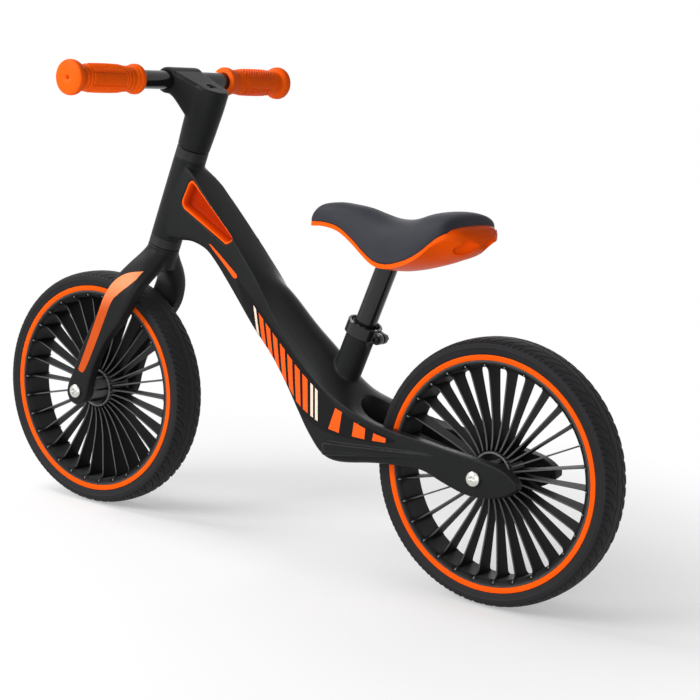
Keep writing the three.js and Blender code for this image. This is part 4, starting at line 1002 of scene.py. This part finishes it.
def made_wheel(prefix, axle, body):
    """Rim, hub and blades in one, with its tyre, trim rings and bearings."""
    barrel = [(123.1, 19.8), (122.6, 20.5), (121.4, 20.6), (119.6, 20.2), (117.6, 19), (116.1, 17.4),
              (115.6, 16.4)]
    barrel += facing(barrel[::-1], -1)
    rim = turned(prefix + "_rim", barrel, axle, ACROSS, facets=240)
    hub = turned("hub_ring", [(22, -15), (23.6, -15), (24, -14.6), (24, 14.6), (23.6, 15), (22, 15)],
                 axle, ACROSS)
    boss = turned("boss", [(13.5, -30.4), (13.5, 30.4), (12.9, 31), (11.3, 31), (11.3, 23.7),
                           (8.3, 23.7), (8.3, -23.7), (11.3, -23.7), (11.3, -31), (12.9, -31)],
                  axle, ACROSS, facets=64)
    webs = []
    for out, aside in round_hub(30):
        rings = []
        for radius, depth in blade_line:
            thick = 1.05 - 0.3 * (radius - 22) / 100
            edge = 0.35
            half = [(thick, depth - edge), (thick - edge, depth), (edge - thick, depth),
                    (-thick, depth - edge), (-thick, depth - 1), (-thick, 1 - depth)]
            rings.append([axle + out * radius + aside * a * way + ACROSS * b * way
                          for way in (1, -1) for a, b in half])
        webs.append(skin("blade", rings))
    for out, aside in round_hub(6):
        webs.append(skin("web", [[axle + out * radius + aside * a + ACROSS * b for a, b in (
            (1, 12), (-1, 12), (-1, -12), (1, -12))] for radius in (12.6, 23)]))
    fused(rim, hub, boss, *webs)
    coated(rim, rim_nylon)
    fitted(crisp(rim, 25), body, prefix + "_rim")
    tyre = piece(prefix + "_tyre", tyre_points + axle, tyre_faces, foam)
    fitted(crisp(tyre, 70), body, prefix + "_tyre")
    for side, sign in SIDES:
        ring = turned(f"{prefix}_trim_ring_{side}", facing([
            (123.4, 17.7), (129.3, 17.7), (129.3, 20.9), (128.8, 21.2), (126.5, 21.1), (123.8, 20.5),
            (123.4, 20.2)], sign), axle, ACROSS, orange_plastic, 320)
        fitted(crisp(ring, 50), body, f"{prefix}_trim_ring_{side}")
        bearing = turned(f"{prefix}_bearing_{side}", facing([
            (4.3, 24), (11, 24), (11, 30.6), (10.7, 31), (9.3, 31), (9.2, 30.4), (6.4, 30.4),
            (6.3, 31), (4.3, 31)], sign), axle, ACROSS, plain_steel, 64)
        fitted(crisp(bearing), body, f"{prefix}_bearing_{side}")


made_wheel("front", FRONT, "front_wheel")
made_wheel("rear", REAR, "rear_wheel")

# Axle sets: a zinc bolt from the left that screws into a sleeve nut from the right,
# both with domed heads and a cross recess, and a black spacer on each side of the hub.


def crossed(made, axle, sign):
    """Cuts the cross recess into a head."""
    for long, thin in ((4, 0.9), (0.9, 4)):
        outline = [(axle[0] + a * long, axle[2] + b * thin)
                   for a, b in ((-1, -1), (1, -1), (1, 1), (-1, 1))]
        low, high = sorted((sign * 53.3, sign * 66))
        fused(made, prism("recess", outline, low, high), cut=True)


dome = [(8.2, 50.3), (8.5, 50.6), (8.5, 52.2), (8.1, 53.4), (7.2, 54.4), (5.6, 55.2), (3.2, 55.7),
        (0, 55.8)]
for prefix, axle, body in (("front", FRONT, "fork"), ("rear", REAR, "frame")):
    bolt = turned(prefix + "_axle_bolt", [(0, -36.1), (3.6, -36.1), (4, -35.6), (4, 50.3), *dome],
                  axle, ACROSS, zinc_plate, 64)
    crossed(bolt, axle, 1)
    fitted(crisp(bolt, 40), body, prefix + "_axle_bolt")
    nut = turned(prefix + "_axle_nut", facing([
        (0, 50.3), (4.3, 50.3), (4.3, 36.6), (5.5, 36.6), (5.5, 50.3), *dome], -1),
                 axle, ACROSS, zinc_plate, 64)
    crossed(nut, axle, -1)
    fitted(crisp(nut, 40), body, prefix + "_axle_nut")
    for side, sign in SIDES:
        spacer = turned(f"{prefix}_axle_spacer_{side}", facing([
            (4.3, 31.3), (6.7, 31.3), (7, 31.6), (7, 35.4), (6.7, 35.7), (4.3, 35.7)], sign),
            axle, ACROSS, cup_nylon, 48)
        fitted(crisp(spacer), body, f"{prefix}_axle_spacer_{side}")
